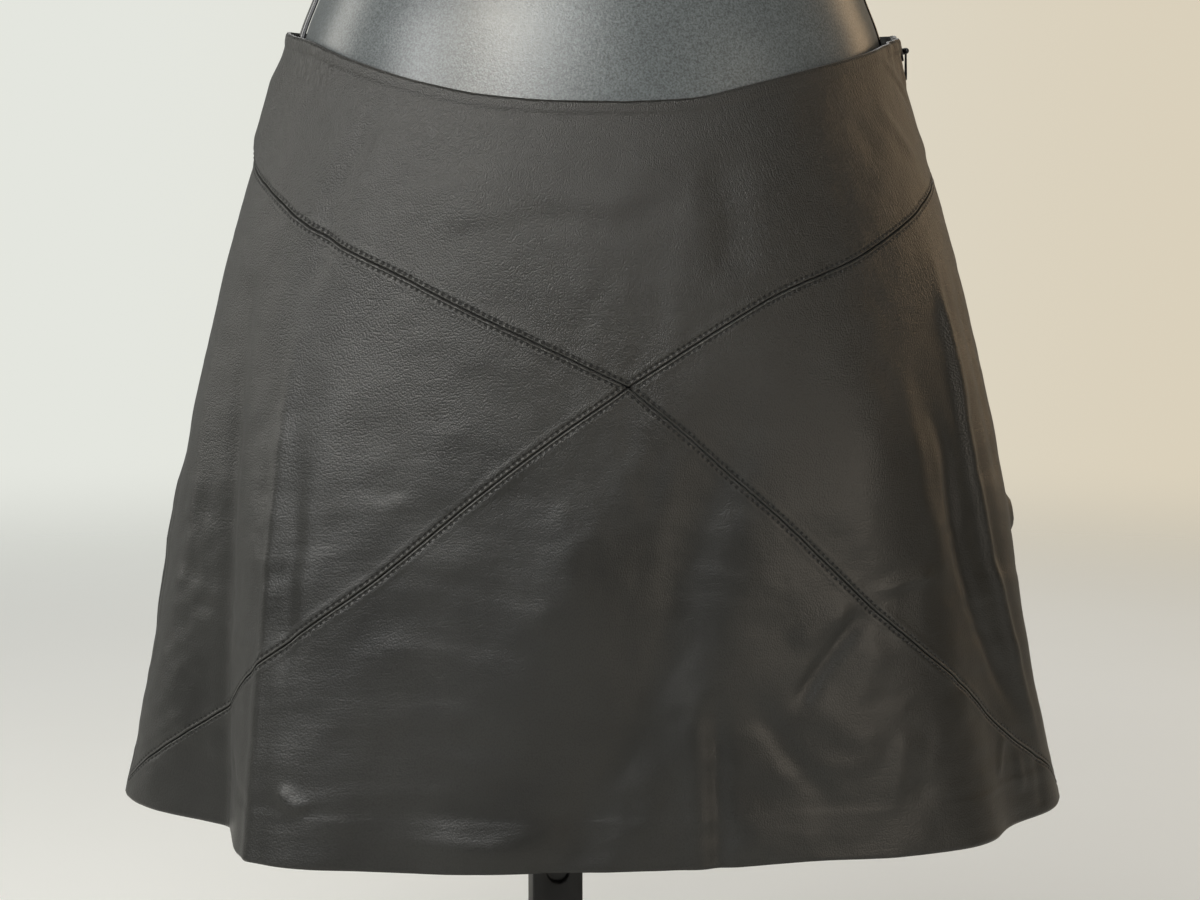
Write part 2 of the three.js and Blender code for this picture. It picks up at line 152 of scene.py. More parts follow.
# Powder coat: polyester powder baked on steel. It looks soft black with a faint pebble.
POWDER_PEBBLE = 1.3
powder_coat, tree, shader = start_material("powder coated steel", IOR=1.5, Specular_IOR_Level=0.5)
place = add(tree, "ShaderNodeTexCoord").outputs["Object"]
pebble = add(tree, "ShaderNodeTexNoise", {"Vector": place, "Scale": 1 / (POWDER_PEBBLE * MM), "Detail": 3.0})
smudge = add(tree, "ShaderNodeTexNoise", {"Vector": place, "Scale": 28.0, "Detail": 4.0})
surface(tree, shader, (smudge.outputs[0], "#131315", "#1d1d1f"), (smudge.outputs[0], 0.38, 0.52),
        (pebble.outputs[0], 0.35, 0.06))

base_profile = [
    (BASE_MIDDLE, 0), (BASE_RADIUS - BASE_FOOT, 0),
    *eased((BASE_RADIUS - BASE_FOOT, BASE_FOOT), BASE_FOOT, -90, 0, 4),
    *eased((BASE_RADIUS - BASE_EASE, BASE_HEIGHT - BASE_EASE), BASE_EASE, 0, 90),
    (BASE_MIDDLE, BASE_HEIGHT),
]
base = make_object("base_plate", *closed_rings(turned_rings(base_profile)))
base.data.materials.append(powder_coat)
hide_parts("stand_base")

# ---- Pole and collar ----
# A 25 mm square steel tube stands in a round collar on the base. Both have their edges
# eased and are powder coated.

POLE_EASE, COLLAR_EASE = 1.6, 1.2


def eased_copy(source, name, ease, body=SKIRT, steps=4):
    """A merged copy of a hard solid, with its flat faces joined and its edges rounded by a live bevel."""
    shape = bmesh.new()
    shape.from_mesh(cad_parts[source].data)
    bmesh.ops.remove_doubles(shape, verts=shape.verts, dist=1e-6)
    bmesh.ops.dissolve_limit(shape, angle_limit=math.radians(1), verts=shape.verts, edges=shape.edges)
    mesh = bpy.data.meshes.new(name)
    shape.to_mesh(mesh)
    shape.free()
    mesh.polygons.foreach_set("use_smooth", np.ones(len(mesh.polygons), bool))
    made = bpy.data.objects.new(name, mesh)
    bpy.context.scene.collection.objects.link(made)
    bevel = made.modifiers.new("eased edges", "BEVEL")
    bevel.width = ease * MM
    bevel.segments = steps
    bevel.limit_method = "ANGLE"
    bevel.angle_limit = math.radians(40)
    bevel.harden_normals = True
    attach(made, body)
    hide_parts(source)
    return made


for source, name, ease in (("stand_pole", "pole", POLE_EASE), ("stand_collar", "collar", COLLAR_EASE)):
    piece = eased_copy(source, name, ease)
    piece.data.materials.append(powder_coat)

# ---- Torso of the display form ----
# A limbless shop form that ends in a rounded seat below the hips, moulded in one piece of
# dark grey ABS with a fine matt texture, and socketed underneath for the square pole.

SIDE_WAIST = 550.0
FORM_POWER = 2.05
FORM_COLUMNS, FORM_LEVELS = 200, 110
FORM_TOP, FORM_FOOT = -85.0, 316.0
SOCKET_SIDE, SOCKET_X, SOCKET_Y = 25.6, -18.0, 10.0
SOCKET_TOP, SOCKET_BELOW = 294.3, 100.0
FOOT_CROWDING = 1.35

# drop below the side waist edge, half width, front depth, back depth
FORM_SECTIONS = np.array([
    (-85, 113, 88, 84),
    (-50, 120, 92, 88),
    (-19, 130, 99, 96),
    (0, 137.5, 104, 101.8),
    (35, 147, 111.2, 107.5),
    (60, 155.5, 115, 111.5),
    (120, 169, 121, 121),
    (200, 170, 116, 126),
    (260, 157, 104, 117),
    (300, 136, 88, 99),
    (312, 118, 74, 84),
    (316, 96, 58, 66),
])


def through(rows, column, at):
    """A cubic through a table's column with a harmonic-mean slope at each row, so it never overshoots."""
    x, y = rows[:, 0], rows[:, column]
    secant = np.diff(y) / np.diff(x)
    before, after = secant[:-1], secant[1:]
    turning = before * after <= 0
    inner = np.where(turning, 0.0, 2 * before * after / np.where(turning, 1.0, before + after))
    slope = np.concatenate([secant[:1], inner, secant[-1:]])
    at = np.asarray(at, float)
    i = np.clip(np.searchsorted(x, at) - 1, 0, len(x) - 2)
    span = x[i + 1] - x[i]
    t = np.clip((at - x[i]) / span, 0, 1)
    far = t * t * (3 - 2 * t)
    bend = slope[i] * t * (1 - t) ** 2 + slope[i + 1] * t * t * (t - 1)
    return y[i] * (1 - far) + y[i + 1] * far + bend * span


def ring_radius(angle, half_width, front, back, power):
    """Radius of a flattened ring: |x / half width| and |y / depth|, each to a power, add up to one."""
    ahead = np.cos(np.radians(angle))
    side = np.abs(np.sin(np.radians(angle))) / half_width
    depth = np.abs(ahead) / np.where(ahead >= 0, front, back)
    return (side ** power + depth ** power) ** (-1 / power)


def ring_place(angle, radius, drop):
    """A point in mm: the angle runs round from the front centre toward +X, and the drop runs down."""
    turn = np.radians(angle)
    return np.stack(np.broadcast_arrays(radius * np.sin(turn), -radius * np.cos(turn), SIDE_WAIST - drop), -1)


def form_ring(drop, scale=1.0, lift=0.0):
    """Level rings of the form, one for each drop, with their sizes scaled and lifted."""
    drop = np.asarray(drop, float)[:, None]
    angle = np.linspace(0, 360, FORM_COLUMNS, endpoint=False)[None, :]
    radius = ring_radius(angle, *[through(FORM_SECTIONS, column, drop) for column in (1, 2, 3)], FORM_POWER)
    return ring_place(angle, radius * scale, drop - lift)


# Moulded ABS: spark-eroded mould texture of about half a millimetre, drawn a little coarser
# so that it shows. It looks satin, with a broad pale highlight that breaks into fine dots.
MOULD_TEXTURE = 0.9
moulded_abs, tree, shader = start_material("textured moulded ABS", IOR=1.53, Specular_IOR_Level=0.6)
place = add(tree, "ShaderNodeTexCoord").outputs["Object"]
spark = add(tree, "ShaderNodeTexNoise",
            {"Vector": place, "Scale": 1 / (MOULD_TEXTURE * MM), "Detail": 2.0, "Roughness": 0.6})
cloud = add(tree, "ShaderNodeTexNoise", {"Vector": place, "Scale": 14.0, "Detail": 3.0})
tint = add(tree, "ShaderNodeMix", {0: cloud.outputs[0], 6: to_linear("#4b5053"), 7: to_linear("#5a5f61")},
           data_type="RGBA")
fleck = add(tree, "ShaderNodeMapRange", {0: spark.outputs[0], 1: 0.35, 2: 0.65, 3: 0.62, 4: 1.5})
speckled = add(tree, "ShaderNodeVectorMath", {0: tint.outputs[2], 3: fleck.outputs[0]}, operation="SCALE")
gloss = add(tree, "ShaderNodeMapRange", {0: cloud.outputs[0], 3: 0.27, 4: 0.35})
skin = add(tree, "ShaderNodeBump", {"Height": spark.outputs[0], "Strength": 0.8, "Distance": 0.12 * MM})
link_to(tree, speckled.outputs[0], shader, "Base Color")
link_to(tree, gloss.outputs[0], shader, "Roughness")
link_to(tree, skin.outputs[0], shader, "Normal")

# Levels crowd toward the rounded foot, where the sections change fastest
levels = np.linspace(0, 1, FORM_LEVELS)
form_drops = FORM_FOOT + (FORM_TOP - FORM_FOOT) * levels ** FOOT_CROWDING
torso = make_object("torso", *closed_rings(form_ring(form_drops)))
socket_corners = np.array([(-1, -1), (1, -1), (1, 1), (-1, 1)]) * SOCKET_SIDE / 2 + (SOCKET_X, SOCKET_Y)
socket_rings = np.array([[(x, y, z) for x, y in socket_corners] for z in (SOCKET_BELOW, SOCKET_TOP)])
socket = make_object("socket_cutter", *closed_rings(socket_rings))
hollow = torso.modifiers.new("socket", "BOOLEAN")
hollow.operation, hollow.solver, hollow.object = "DIFFERENCE", "EXACT", socket
bpy.context.view_layer.update()
cut_mesh = bpy.data.meshes.new_from_object(torso.evaluated_get(bpy.context.evaluated_depsgraph_get()))
torso.modifiers.clear()
torso.data = cut_mesh
bpy.data.objects.remove(socket)
torso.data.materials.clear()
torso.data.materials.append(moulded_abs)
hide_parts("form_torso")

# ---- Cap and side rims ----
# The moulding's open top is closed with a shallow cap, and a narrow bead covers the join down
# each side. All three are gloss black PVC, pressed on.

REST_GAP = 0.3
CAP_LIFT, CAP_SCALE = 6.0, 0.84
RIM_WIDTH, RIM_PROUD, RIM_FOOT = 6.0, 3.0, 282.0
RIM_ROWS, RIM_COLUMNS = 130, 17


def close_grid(outer, inner):
    """Faces of a wall between two grids: outside, four edge strips, then the inside turned round."""
    columns, rows = outer.shape[:2]
    out = np.arange(columns * rows).reshape(columns, rows)
    back = out + columns * rows

    def quads(a, b, c, d):
        return np.stack([a, b, c, d], -1).reshape(-1, 4)

    strips = [
        quads(out[:-1, :-1], out[1:, :-1], out[1:, 1:], out[:-1, 1:]),
        quads(out[1:, 0], out[:-1, 0], back[:-1, 0], back[1:, 0]),
        quads(out[:-1, -1], out[1:, -1], back[1:, -1], back[:-1, -1]),
        quads(out[0, :-1], out[0, 1:], back[0, 1:], back[0, :-1]),
        quads(out[-1, 1:], out[-1, :-1], back[-1, :-1], back[-1, 1:]),
    ]
    inside = quads(back[:-1, :-1], back[:-1, 1:], back[1:, 1:], back[1:, :-1])
    return np.concatenate([outer.reshape(-1, 3), inner.reshape(-1, 3)]), [*strips, inside]


# Gloss PVC: extruded and dip-polished. It looks deep black with one crisp highlight.
gloss_pvc, tree, shader = start_material("gloss black PVC", IOR=1.54, Coat_Weight=0.4, Coat_Roughness=0.06)
place = add(tree, "ShaderNodeTexCoord").outputs["Object"]
haze = add(tree, "ShaderNodeTexNoise", {"Vector": place, "Scale": 45.0, "Detail": 4.0})
surface(tree, shader, (haze.outputs[0], "#0b0b0c", "#151517"), (haze.outputs[0], 0.14, 0.26))

quarter = np.linspace(0, math.pi / 2, 9)
cap_rings = np.concatenate([
    form_ring([FORM_TOP], CAP_SCALE + (1 - CAP_SCALE) * math.cos(t), REST_GAP + CAP_LIFT * math.sin(t))
    for t in quarter
])
cap = make_object("cap", *closed_rings(cap_rings))
cap.data.materials.append(gloss_pvc)
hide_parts("form_cap")

for side, word in ((-1, "plain"), (1, "zip")):
    across = np.linspace(-1, 1, RIM_COLUMNS)[:, None] * side
    down = np.linspace(RIM_FOOT, FORM_TOP, RIM_ROWS)[None, :]
    form_side = through(FORM_SECTIONS, 1, down)
    # the bead's height is a rounded square across its width, and it tapers off at both ends
    taper = np.clip((RIM_FOOT - down) / 4, 0.15, 1) ** 0.5 * np.clip((down - FORM_TOP) / 2, 0.3, 1) ** 0.5
    bead = RIM_PROUD * (1 - 0.9 * np.abs(across) ** 4) ** 0.5 * taper
    wall = [
        np.stack(np.broadcast_arrays(
            side * (form_side + REST_GAP + proud), across * RIM_WIDTH / 2, SIDE_WAIST - down,
        ), -1)
        for proud in (bead, 0.0 * bead)
    ]
    rim = make_object(f"rim_{word}_side", *close_grid(*wall), sharp=50)
    rim.data.materials.append(gloss_pvc)
    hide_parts(f"form_rim_{word}_side")

# ---- Front yoke, and how all the leather hangs ----
# The yoke is the top front piece of the skirt, cut from soft black nappa and turned under at
# the waist. It lies on the form's hips, and the crossing seams below it draw the leather.

HEM_DROP = 378.0
LEATHER = 1.6
SEAM_GAP = 0.4
# Nothing stands behind the side seams below the zip, so they are drawn nearly shut
SIDE_GAP = 0.05
WAIST_TURN, HEM_TURN = 6.5, 22.0
CLOTH_RADIUS = 190.0
NO_SEAM = 90.0
PLAIN_SEAM, ZIP_SEAM = -92.0, 84.0
WAIST, UPPER_SEAM, LOWER_SEAM, HEM = 1, 2, 3, 4

# drop, half width, front depth, back depth, power of the ring
SKIRT_SECTIONS = np.array([
    (-10, 144.5, 104, 102, 2.1),
    (0, 147, 106, 104, 2.1),
    (25, 152, 111, 109, 2.1),
    (60, 162.5, 118, 115, 2.15),
    (120, 180, 127, 125, 2.2),
    (200, 198, 134, 134, 2.3),
    (280, 211, 139, 141, 2.35),
    (378, 228, 143, 147, 2.4),
])

# angle at the top, angle at the hem, half width in degrees, depth at the hem, drop where it starts
FOLD_GROWTH = 1.3
LONG_FOLDS = {
    "plain side spread": (-94, -94, 9, 4, 200),
    "plain side flute": (-75, -72, 11, -30, 60),
    "plain side front ridge": (-55, -52, 10.5, 12.5, 100),
    "zip side flute": (56, 70, 8, -12, 90),
    "zip side ridge": (66, 80, 6, 3, 60),
    "zip side spread": (92, 92, 10, 6, 290),
    "back flute, zip side": (124, 127, 12, -17, 80),
    "back ridge, zip side": (151, 149, 12, 8, 120),
    "back flute, middle": (184, 181, 13, -9, 150),
    "back flute, plain side": (233, 231, 12, -21, 70),
}

# angle from the front centre, then the drops of the waist, upper seam, lower seam and hem
PLAIN_SIDE_EDGES = np.array([
    (0, 35.5, 162, 162, 378),
    (15, 35, 145.5, 186, 378),
    (30, 32.5, 128.5, 216, 378),
    (45, 26, 110, 254.5, 376),
    (60, 16, 92.5, 293, 374),
    (75, 5.5, 73, 321.5, 371),
    (92, 0, 58, 363, 370),
])
ZIP_SIDE_EDGES = np.array([
    (0, 35.5, 162, 162, 378),
    (15, 34, 141, 192, 378),
    (30, 27.5, 121.5, 228, 377),
    (45, 20, 107.5, 271, 379),
    (60, 12.5, 90, 310, 380),
    (75, 4.5, 72.5, 348, 379),
    (84, 1, 66, 369, 377),
])
BACK_WAIST_RISE, BACK_HEM_SAG = 4.0, 5.0

# path of (angle, drop) places, half width in mm, height in mm: minus is a trough
CREASES = {
    "plain side crest": (((-59, 112), (-58, 210), (-57.4, 290), (-56, 376)), 5.0, 1.8),
    "plain side valley": (((-75, 84), (-72, 170), (-72, 300), (-71, 376)), 7.0, -1.8),
    "plain side inner trough": (((-54.5, 186), (-53.5, 250), (-53, 318)), 4.0, -0.9),
    "plain side soft band": (((-51, 112), (-51, 190), (-50, 300)), 9.0, 1.0),
    "plain hip swell": (((-91, 8), (-91, 34), (-91, 66)), 22.0, 3.6),
    "plain flank swell": (((-96, 196), (-96, 245), (-96, 300)), 20.0, 2.8),
    "zip flank hollow": (((86, 245), (86, 295), (87, 345)), 20.0, -3.0),
    "plain flank drag": (((-84, 120), (-82, 210), (-84, 300)), 7.0, 0.9),
    "plain flank dent": (((-86, 235), (-80, 262)), 7.0, -0.7),
    "plain corner drag": (((-88, 318), (-76, 334)), 4.0, 0.6),
    "plain corner pull": (((-70, 330), (-63, 344), (-56, 348)), 4.0, -0.5),
    "low shine dimple": (((-52.5, 340), (-48.5, 352)), 3.6, 2.0),
    "zip side crest": (((65, 90), (64.6, 140), (65.4, 180), (66.4, 212), (68.2, 250), (70.6, 276), (75, 331),
                        (78, 364)), 3.6, 2.6),
    "zip side second crest": (((64, 116), (66, 152), (67, 190)), 3.2, 1.4),
    "zip side valley": (((56, 160), (60.4, 196), (61.2, 240), (64, 270), (67, 291), (71.4, 320), (75.5, 345)),
                         5.5, -2.6),
    "zip side inner crest": (((52, 150), (54, 215), (57, 262)), 7.0, 1.0),
    "zip side outer valley": (((72, 96), (73, 170), (74, 240)), 5.5, -1.2),
    "zip end bulge": (((83, 222), (83.4, 244)), 6.0, 2.6),
    "zip end pinch": (((79, 250), (84, 252)), 4.0, -1.0),
    "seam pull above": (((42, 258), (48, 254), (55, 250)), 3.2, 1.2),
    "seam pull crest": (((40.5, 262), (35, 268), (28, 280)), 6.0, 1.3),
    "seam pull trough": (((44, 262), (39.5, 271), (36.5, 281), (33, 293), (28, 310)), 4.2, -2.4),
    "seam pull low crest": (((44, 274), (41, 292), (37, 316)), 8.0, 1.1),
    "hem step trough": (((15.2, 296), (15.8, 330), (16, 378)), 4.5, -1.5),
    "hem step crest": (((11, 298), (11.8, 338), (12, 378)), 6.0, 1.1),
    "hem second step": (((20, 294), (24.2, 312), (29.8, 335), (37, 358)), 6.0, -1.5),
    "hem second crest": (((30, 300), (36, 316), (44, 334)), 9.0, 1.2),
    "hem flick, plain side": (((-38, 365), (-24, 367), (-6, 365)), 10.0, 2.2),
    "hem flick, zip side": (((17, 365), (26, 367), (35, 364)), 9.0, 1.5),
    "front valley": (((24, 140), (18.5, 186), (14.8, 213), (11.5, 239), (7.8, 275), (2.8, 310), (-5.8, 345),
                      (-13, 374)), 14.0, -2.6),
    "front valley, far wall": (((-9, 200), (-10, 240), (-16, 280), (-22, 330)), 22.0, 2.6),
    "front valley, near wall": (((30, 180), (24, 240), (17, 290), (8, 340)), 17.0, 1.3),
    "front swell, zip side": (((42, 140), (43, 200), (41, 256)), 22.0, 2.6),
    "yoke hollow": (((20, 52), (22, 86), (21, 120)), 10.0, -1.5),
    "yoke swell": (((-34, 62), (-30, 96)), 17.0, 1.2),
    "yoke end valley": (((-50, 26), (-54.5, 57), (-57, 79), (-57, 106), (-60, 140)), 6.5, -1.7),
    "yoke end crest": (((-41, 30), (-47, 66), (-50, 97), (-54, 134)), 10.0, 0.8),
    "yoke flank crest": (((-75, 16), (-71, 48), (-68, 84)), 10.0, 1.2),
    "yoke wave": (((-24, 72), (-8, 80), (8, 76)), 6.0, 0.35),
    "yoke wave trough": (((-26, 83), (-6, 91), (14, 85)), 6.5, -0.5),
    "yoke drag": (((0, 60), (7, 67), (13, 76)), 3.0, 0.5),
    "yoke side drag": (((60, 34), (66, 52), (70, 62)), 4.0, 0.8),
    "yoke side hollow": (((52, 40), (57, 62)), 6.0, -0.7),
    "zip corner crease": (((66, 12), (71, 22), (77, 31)), 2.6, 0.9),
    "zip corner trough": (((68, 17), (73, 28), (78, 38)), 2.6, -0.8),
    "zip corner fold": (((75, 4), (77, 14), (79, 30)), 2.4, 1.2),
    "zip corner lump": (((76.5, -3), (79, 5), (80, 14)), 3.6, 2.2),
    "zip corner lump, back": (((92, -3), (89.5, 6), (89, 16)), 3.6, 1.8),
    "zip corner dent": (((73.5, -2), (74, 8)), 2.4, -0.9),
    "corner tick": (((69, 333), (66, 355)), 2.4, 0.9),
    "corner tick, second": (((71.5, 341), (72.4, 367)), 2.4, 0.9),
    "corner tick, low": (((75.5, 345), (76, 372)), 3.2, -0.9),
    "hem third step": (((47, 317), (45, 338), (43.5, 362)), 4.5, 0.9),
    "hem third trough": (((51, 320), (49.5, 338), (48, 360)), 5.0, -0.7),
    "low front drag": (((22, 342), (34, 334), (42, 338)), 5.0, 0.6),
    "low front drag, plain": (((-38, 322), (-25, 330), (-14, 326)), 5.0, 0.6),
    "panel drag, plain": (((-47, 205), (-42, 209), (-37, 207)), 3.4, -0.3),
    "back crest, zip side": (((138, 116), (138, 240), (139, 376)), 5.0, 1.8),
    "back valley, zip side": (((125, 92), (126, 240), (127, 376)), 6.0, -1.7),
    "back valley, plain side": (((232, 88), (231, 230), (231, 376)), 6.0, -1.8),
    "back crest, plain side": (((220, 130), (218, 260), (219, 376)), 5.0, 1.5),
    "back drag": (((166, 74), (178, 82), (192, 78)), 6.0, 0.7),
    "back low drag": (((158, 322), (172, 332), (186, 330)), 7.0, 0.8),
    "back seat hollow": (((200, 128), (204, 168)), 14.0, -1.2),
    "plain hip drag": (((256, 60), (248, 96)), 5.0, 0.8),
    "zip hip drag": (((96, 52), (104, 92)), 5.0, 0.8),
}
REACHES_HEM = 368
CREASE_FADE = 0.3
MM_PER_DEGREE = 3.2
ZIP_END = 248

# cells round the skirt, drop of one cell, share of the sway in each direction, seed, height in mm
UNEVENNESS = (
    (40, 27, 1, 1, 3, 0.42),
    (84, 10, 2, -1, 5, 0.20),
    (170, 5.4, -3, 1, 8, 0.07),
)


def turned_from(angle, middle):
    """Degrees from a middle angle to an angle, the short way round."""
    return (angle - middle + 180) % 360 - 180


def body_radius(angle, drop):
    """The ring at this drop, plus each long fold: a bell across its angle that grows with a power of
    the drop below its start."""
    radius = ring_radius(angle, *[through(SKIRT_SECTIONS, column, drop) for column in (1, 2, 3, 4)])
    for top, low, half_width, depth, start in LONG_FOLDS.values():
        grown = np.clip((drop - start) / (HEM_DROP - start), 0, 1)
        away = turned_from(angle, top + (low - top) * grown)
        radius = radius + depth * grown ** FOLD_GROWTH * np.exp(-((away / half_width) ** 2))
    return radius


def edge_drop(edge, angle):
    """Drop of an edge or seam of the front at this angle."""
    plain = through(PLAIN_SIDE_EDGES, edge, np.abs(angle))
    zipped = through(ZIP_SIDE_EDGES, edge, np.abs(angle))
    return np.where(np.asarray(angle) < 0, plain, zipped)


def back_drop(edge, angle):
    """Drop of an edge of the back: a line between the two side seams plus half a sine wave."""
    swell = -BACK_WAIST_RISE if edge == WAIST else BACK_HEM_SAG
    first, last = edge_drop(edge, np.array([ZIP_SEAM, PLAIN_SEAM]))
    along = (np.asarray(angle, float) - ZIP_SEAM) / (PLAIN_SEAM + 360 - ZIP_SEAM)
    return first + (last - first) * along + swell * np.sin(math.pi * along)


def waist_drop(angle):
    """Drop of the waist edge all the way round."""
    turned = (np.asarray(angle, float) - PLAIN_SEAM) % 360 + PLAIN_SEAM
    return np.where(turned <= ZIP_SEAM, edge_drop(WAIST, turned), back_drop(WAIST, turned))


def soft_noise(u, v, across, seed):
    """Random values on a lattice, blended between neighbours by a fifth-power step. The first direction
    repeats after as many cells as across says."""
    table = np.random.RandomState(seed).rand(across, 256) * 2 - 1
    iu, iv = np.floor(u).astype(int), np.floor(v).astype(int)
    fu, fv = u - iu, v - iv
    su, sv = (f ** 3 * (f * (6 * f - 15) + 10) for f in (fu, fv))
    near = table[iu % across, iv % 256] * (1 - su) + table[(iu + 1) % across, iv % 256] * su
    far = table[iu % across, (iv + 1) % 256] * (1 - su) + table[(iu + 1) % across, (iv + 1) % 256] * su
    return near * (1 - sv) + far * sv


def crease_height(angle, drop, radius):
    """Each crease is a bell across its path, in mm on the leather, that fades in and out along the path."""
    height = np.zeros_like(radius)
    per_degree = radius * math.pi / 180
    for path, half_width, rise in CREASES.values():
        stops = np.array(path, float)
        middle = stops[:, 0].mean()
        turned = turned_from(angle, middle) + middle
        lengths = np.hypot(*(np.diff(stops, axis=0) * (MM_PER_DEGREE, 1.0)).T)
        nearest = np.full(radius.shape, 1e9)
        along = np.zeros_like(radius)
        walked = 0.0
        for start, step, length in zip(stops[:-1], np.diff(stops, axis=0), lengths):
            du, dv = step[0] * per_degree, step[1]
            pu, pv = (turned - start[0]) * per_degree, drop - start[1]
            t = np.clip((pu * du + pv * dv) / (du * du + dv * dv), 0, 1)
            away = np.hypot(pu - t * du, pv - t * dv)
            along = np.where(away < nearest, (walked + t * length) / lengths.sum(), along)
            nearest = np.minimum(nearest, away)
            walked += length
        leave = 1.0 if stops[-1, 1] > REACHES_HEM else np.clip((1 - along) / CREASE_FADE, 0, 1)
        fade = np.clip(along / CREASE_FADE, 0, 1) * leave
        height += rise * fade * fade * (3 - 2 * fade) * np.exp(-((nearest / half_width) ** 2))
    return height


def beside_zip(angle, radius):
    """Distance in mm from the side seam that holds the zip."""
    return np.abs(turned_from(angle, ZIP_SEAM)) * radius * math.pi / 180


def under_slider(angle, radius, drop):
    """One under the slider and its pull, where the leather lies flat, and zero elsewhere."""
    return np.exp(-((beside_zip(angle, radius) / 7) ** 4)) / (1 + np.exp((drop - 31) / 2.5))


def drape(angle, drop):
    """Radius of the hung leather: body, creases, soft unevenness, level stretch waves, puckers at the
    waist ends and ripples along the zip. All of it is small where the waist lies close on the form."""
    radius = body_radius(angle, drop)
    turn = angle / 360
    sway = 0.4 * np.sin(2 * math.pi * turn * 7) + drop / 90
    below_waist = drop - waist_drop(angle)
    loose = np.clip(below_waist / 60, 0, 1)
    uneven = 0
    for around, cell, sway_round, sway_down, seed, rise in UNEVENNESS:
        noise = soft_noise(turn * around + sway_round * sway, drop / cell + sway_down * sway, around, seed)
        uneven = uneven + rise * noise
    flank = np.exp(-((turned_from(angle, -82) / 9) ** 2)) * np.clip((drop - 190) / 60, 0, 1)
    mottle = 0.5 * flank * soft_noise(turn * 120 + sway, drop / 9, 120, 11)
    ends = np.exp(-((turned_from(angle, -80) / 13) ** 2)) + 0.9 * np.exp(-((turned_from(angle, 75) / 8) ** 2))
    gather = np.exp(-np.clip(below_waist, 0, None) / 26)
    pucker = 0.8 * gather * ends * soft_noise(turn * 168, drop / 38, 168, 17)
    zip_length = np.clip((ZIP_END - drop) / 20, 0, 1)
    away = beside_zip(angle, radius)
    ripple = 0.5 * zip_length * np.exp(-((away / 9) ** 2)) * soft_noise(drop / 9, drop / 31, 64, 23)
    level = 0.30 * soft_noise(turn * 24 + sway, drop / 7.5 + 2 * sway, 24, 41)
    worn = np.clip((drop - 150) / 120, 0.25, 1) * loose
    snug = (1 - np.clip(below_waist / 14, 0.15, 1)) * np.cos(np.radians(angle)) ** 2
    small = crease_height(angle, drop, radius) * (1 - snug) + level * worn * 0.6
    small += uneven * (0.2 + 0.8 * loose) + mottle + pucker + ripple
    return radius + small * (1 - under_slider(angle, radius, drop))


# The crossing seams are pressed open and topstitched on both sides, 1.8 mm from the join
STITCH_OFFSET = 1.8
STITCH_PITCH = 2.95

# height in mm, distance from the join, half width: join, puffed strip, thread groove, shoulder
SEAM_PROFILE = ((-0.50, 0.0, 0.34), (0.24, 0.95, 0.5), (-0.13, STITCH_OFFSET, 0.36), (0.16, 3.4, 1.5))


def half_seam(edge, far_angle):
    """A crossing seam from its middle to one side, by angle: drop, length, mm in a degree, and slope."""
    away = np.linspace(0, abs(far_angle), 500)
    side = math.copysign(1, far_angle)
    drop = edge_drop(edge, side * np.maximum(away, 1e-6))
    step = 0.2
    here = [ring_place(a, body_radius(a, drop), drop) for a in (side * away + step, side * away - step)]
    per_degree = np.linalg.norm(here[0] - here[1], axis=1) / (2 * step)
    run, fall = np.gradient(away) * per_degree, np.gradient(drop)
    slope = np.hypot(run, fall)
    length = np.concatenate([[0], np.cumsum(slope[1:])])
    return {"away": away, "drop": drop, "length": length, "per_degree": per_degree,
            "level": run / slope, "steep": fall / slope}


SEAM_HALVES = {
    (edge, side): half_seam(edge, PLAIN_SEAM if side < 0 else ZIP_SEAM)
    for edge in (UPPER_SEAM, LOWER_SEAM) for side in (-1, 1)
}


def seam_places(edge, angle, drop):
    """For each place, its distance from the seam over the leather and how far along the seam it lies."""
    away, along = np.zeros(angle.shape), np.zeros(angle.shape)
    for side in (-1, 1):
        half = SEAM_HALVES[edge, side]
        mine = (angle < 0) if side < 0 else (angle >= 0)
        read = {key: np.interp(np.abs(angle), half["away"], half[key]) for key in half}
        below = drop - read["drop"]
        away = np.where(mine, np.abs(below) * read["level"], away)
        along = np.where(mine, read["length"] + below * read["steep"], along)
    return away, along


def sewn_height(angle, drop):
    """Height beside the nearest crossing seam: a sunk join, a puffed strip, a thread groove, a soft
    shoulder, and small puckers that run off the stitching."""
    upper, lower = (seam_places(edge, angle, drop) for edge in (UPPER_SEAM, LOWER_SEAM))
    away = np.minimum(upper[0], lower[0])
    along = np.where(upper[0] < lower[0], upper[1], lower[1])
    height = sum(rise * np.exp(-(((away - middle) / wide) ** 2)) for rise, middle, wide in SEAM_PROFILE)
    pucker = 0.17 * np.exp(-((away / 7) ** 2)) * soft_noise(along / 6.5, away / 12, 120, 31)
    return height + pucker


def plain_height(away):
    """Height beside a plain side seam: a sunk join with a low roll on each side."""
    return -0.7 * np.exp(-((away / 0.8) ** 2)) + 0.35 * np.exp(-(((away - 3.0) / 2.2) ** 2))


def turned_height(away, band, ridge):
    """Height near a turned edge: a rounded lip, a doubled layer, and a faint ridge where it ends."""
    lip = -0.6 * np.exp(-((away / 0.7) ** 2))
    doubled = 0.125 * (1 - np.tanh((away - band) / 1.6))
    return lip + doubled + ridge * np.exp(-(((away - band) / 1.5) ** 2))


def crowded(count, share=0.94):
    """Steps from 0 to 1 that are shorter at both ends."""
    u = np.linspace(0, 1, count)
    return u - share * np.sin(2 * math.pi * u) / (2 * math.pi)


# The slider's neck stands in the side seam, and the leather parts a little round it
NECK_DROP, NECK_OPENING = 9.0, 1.0


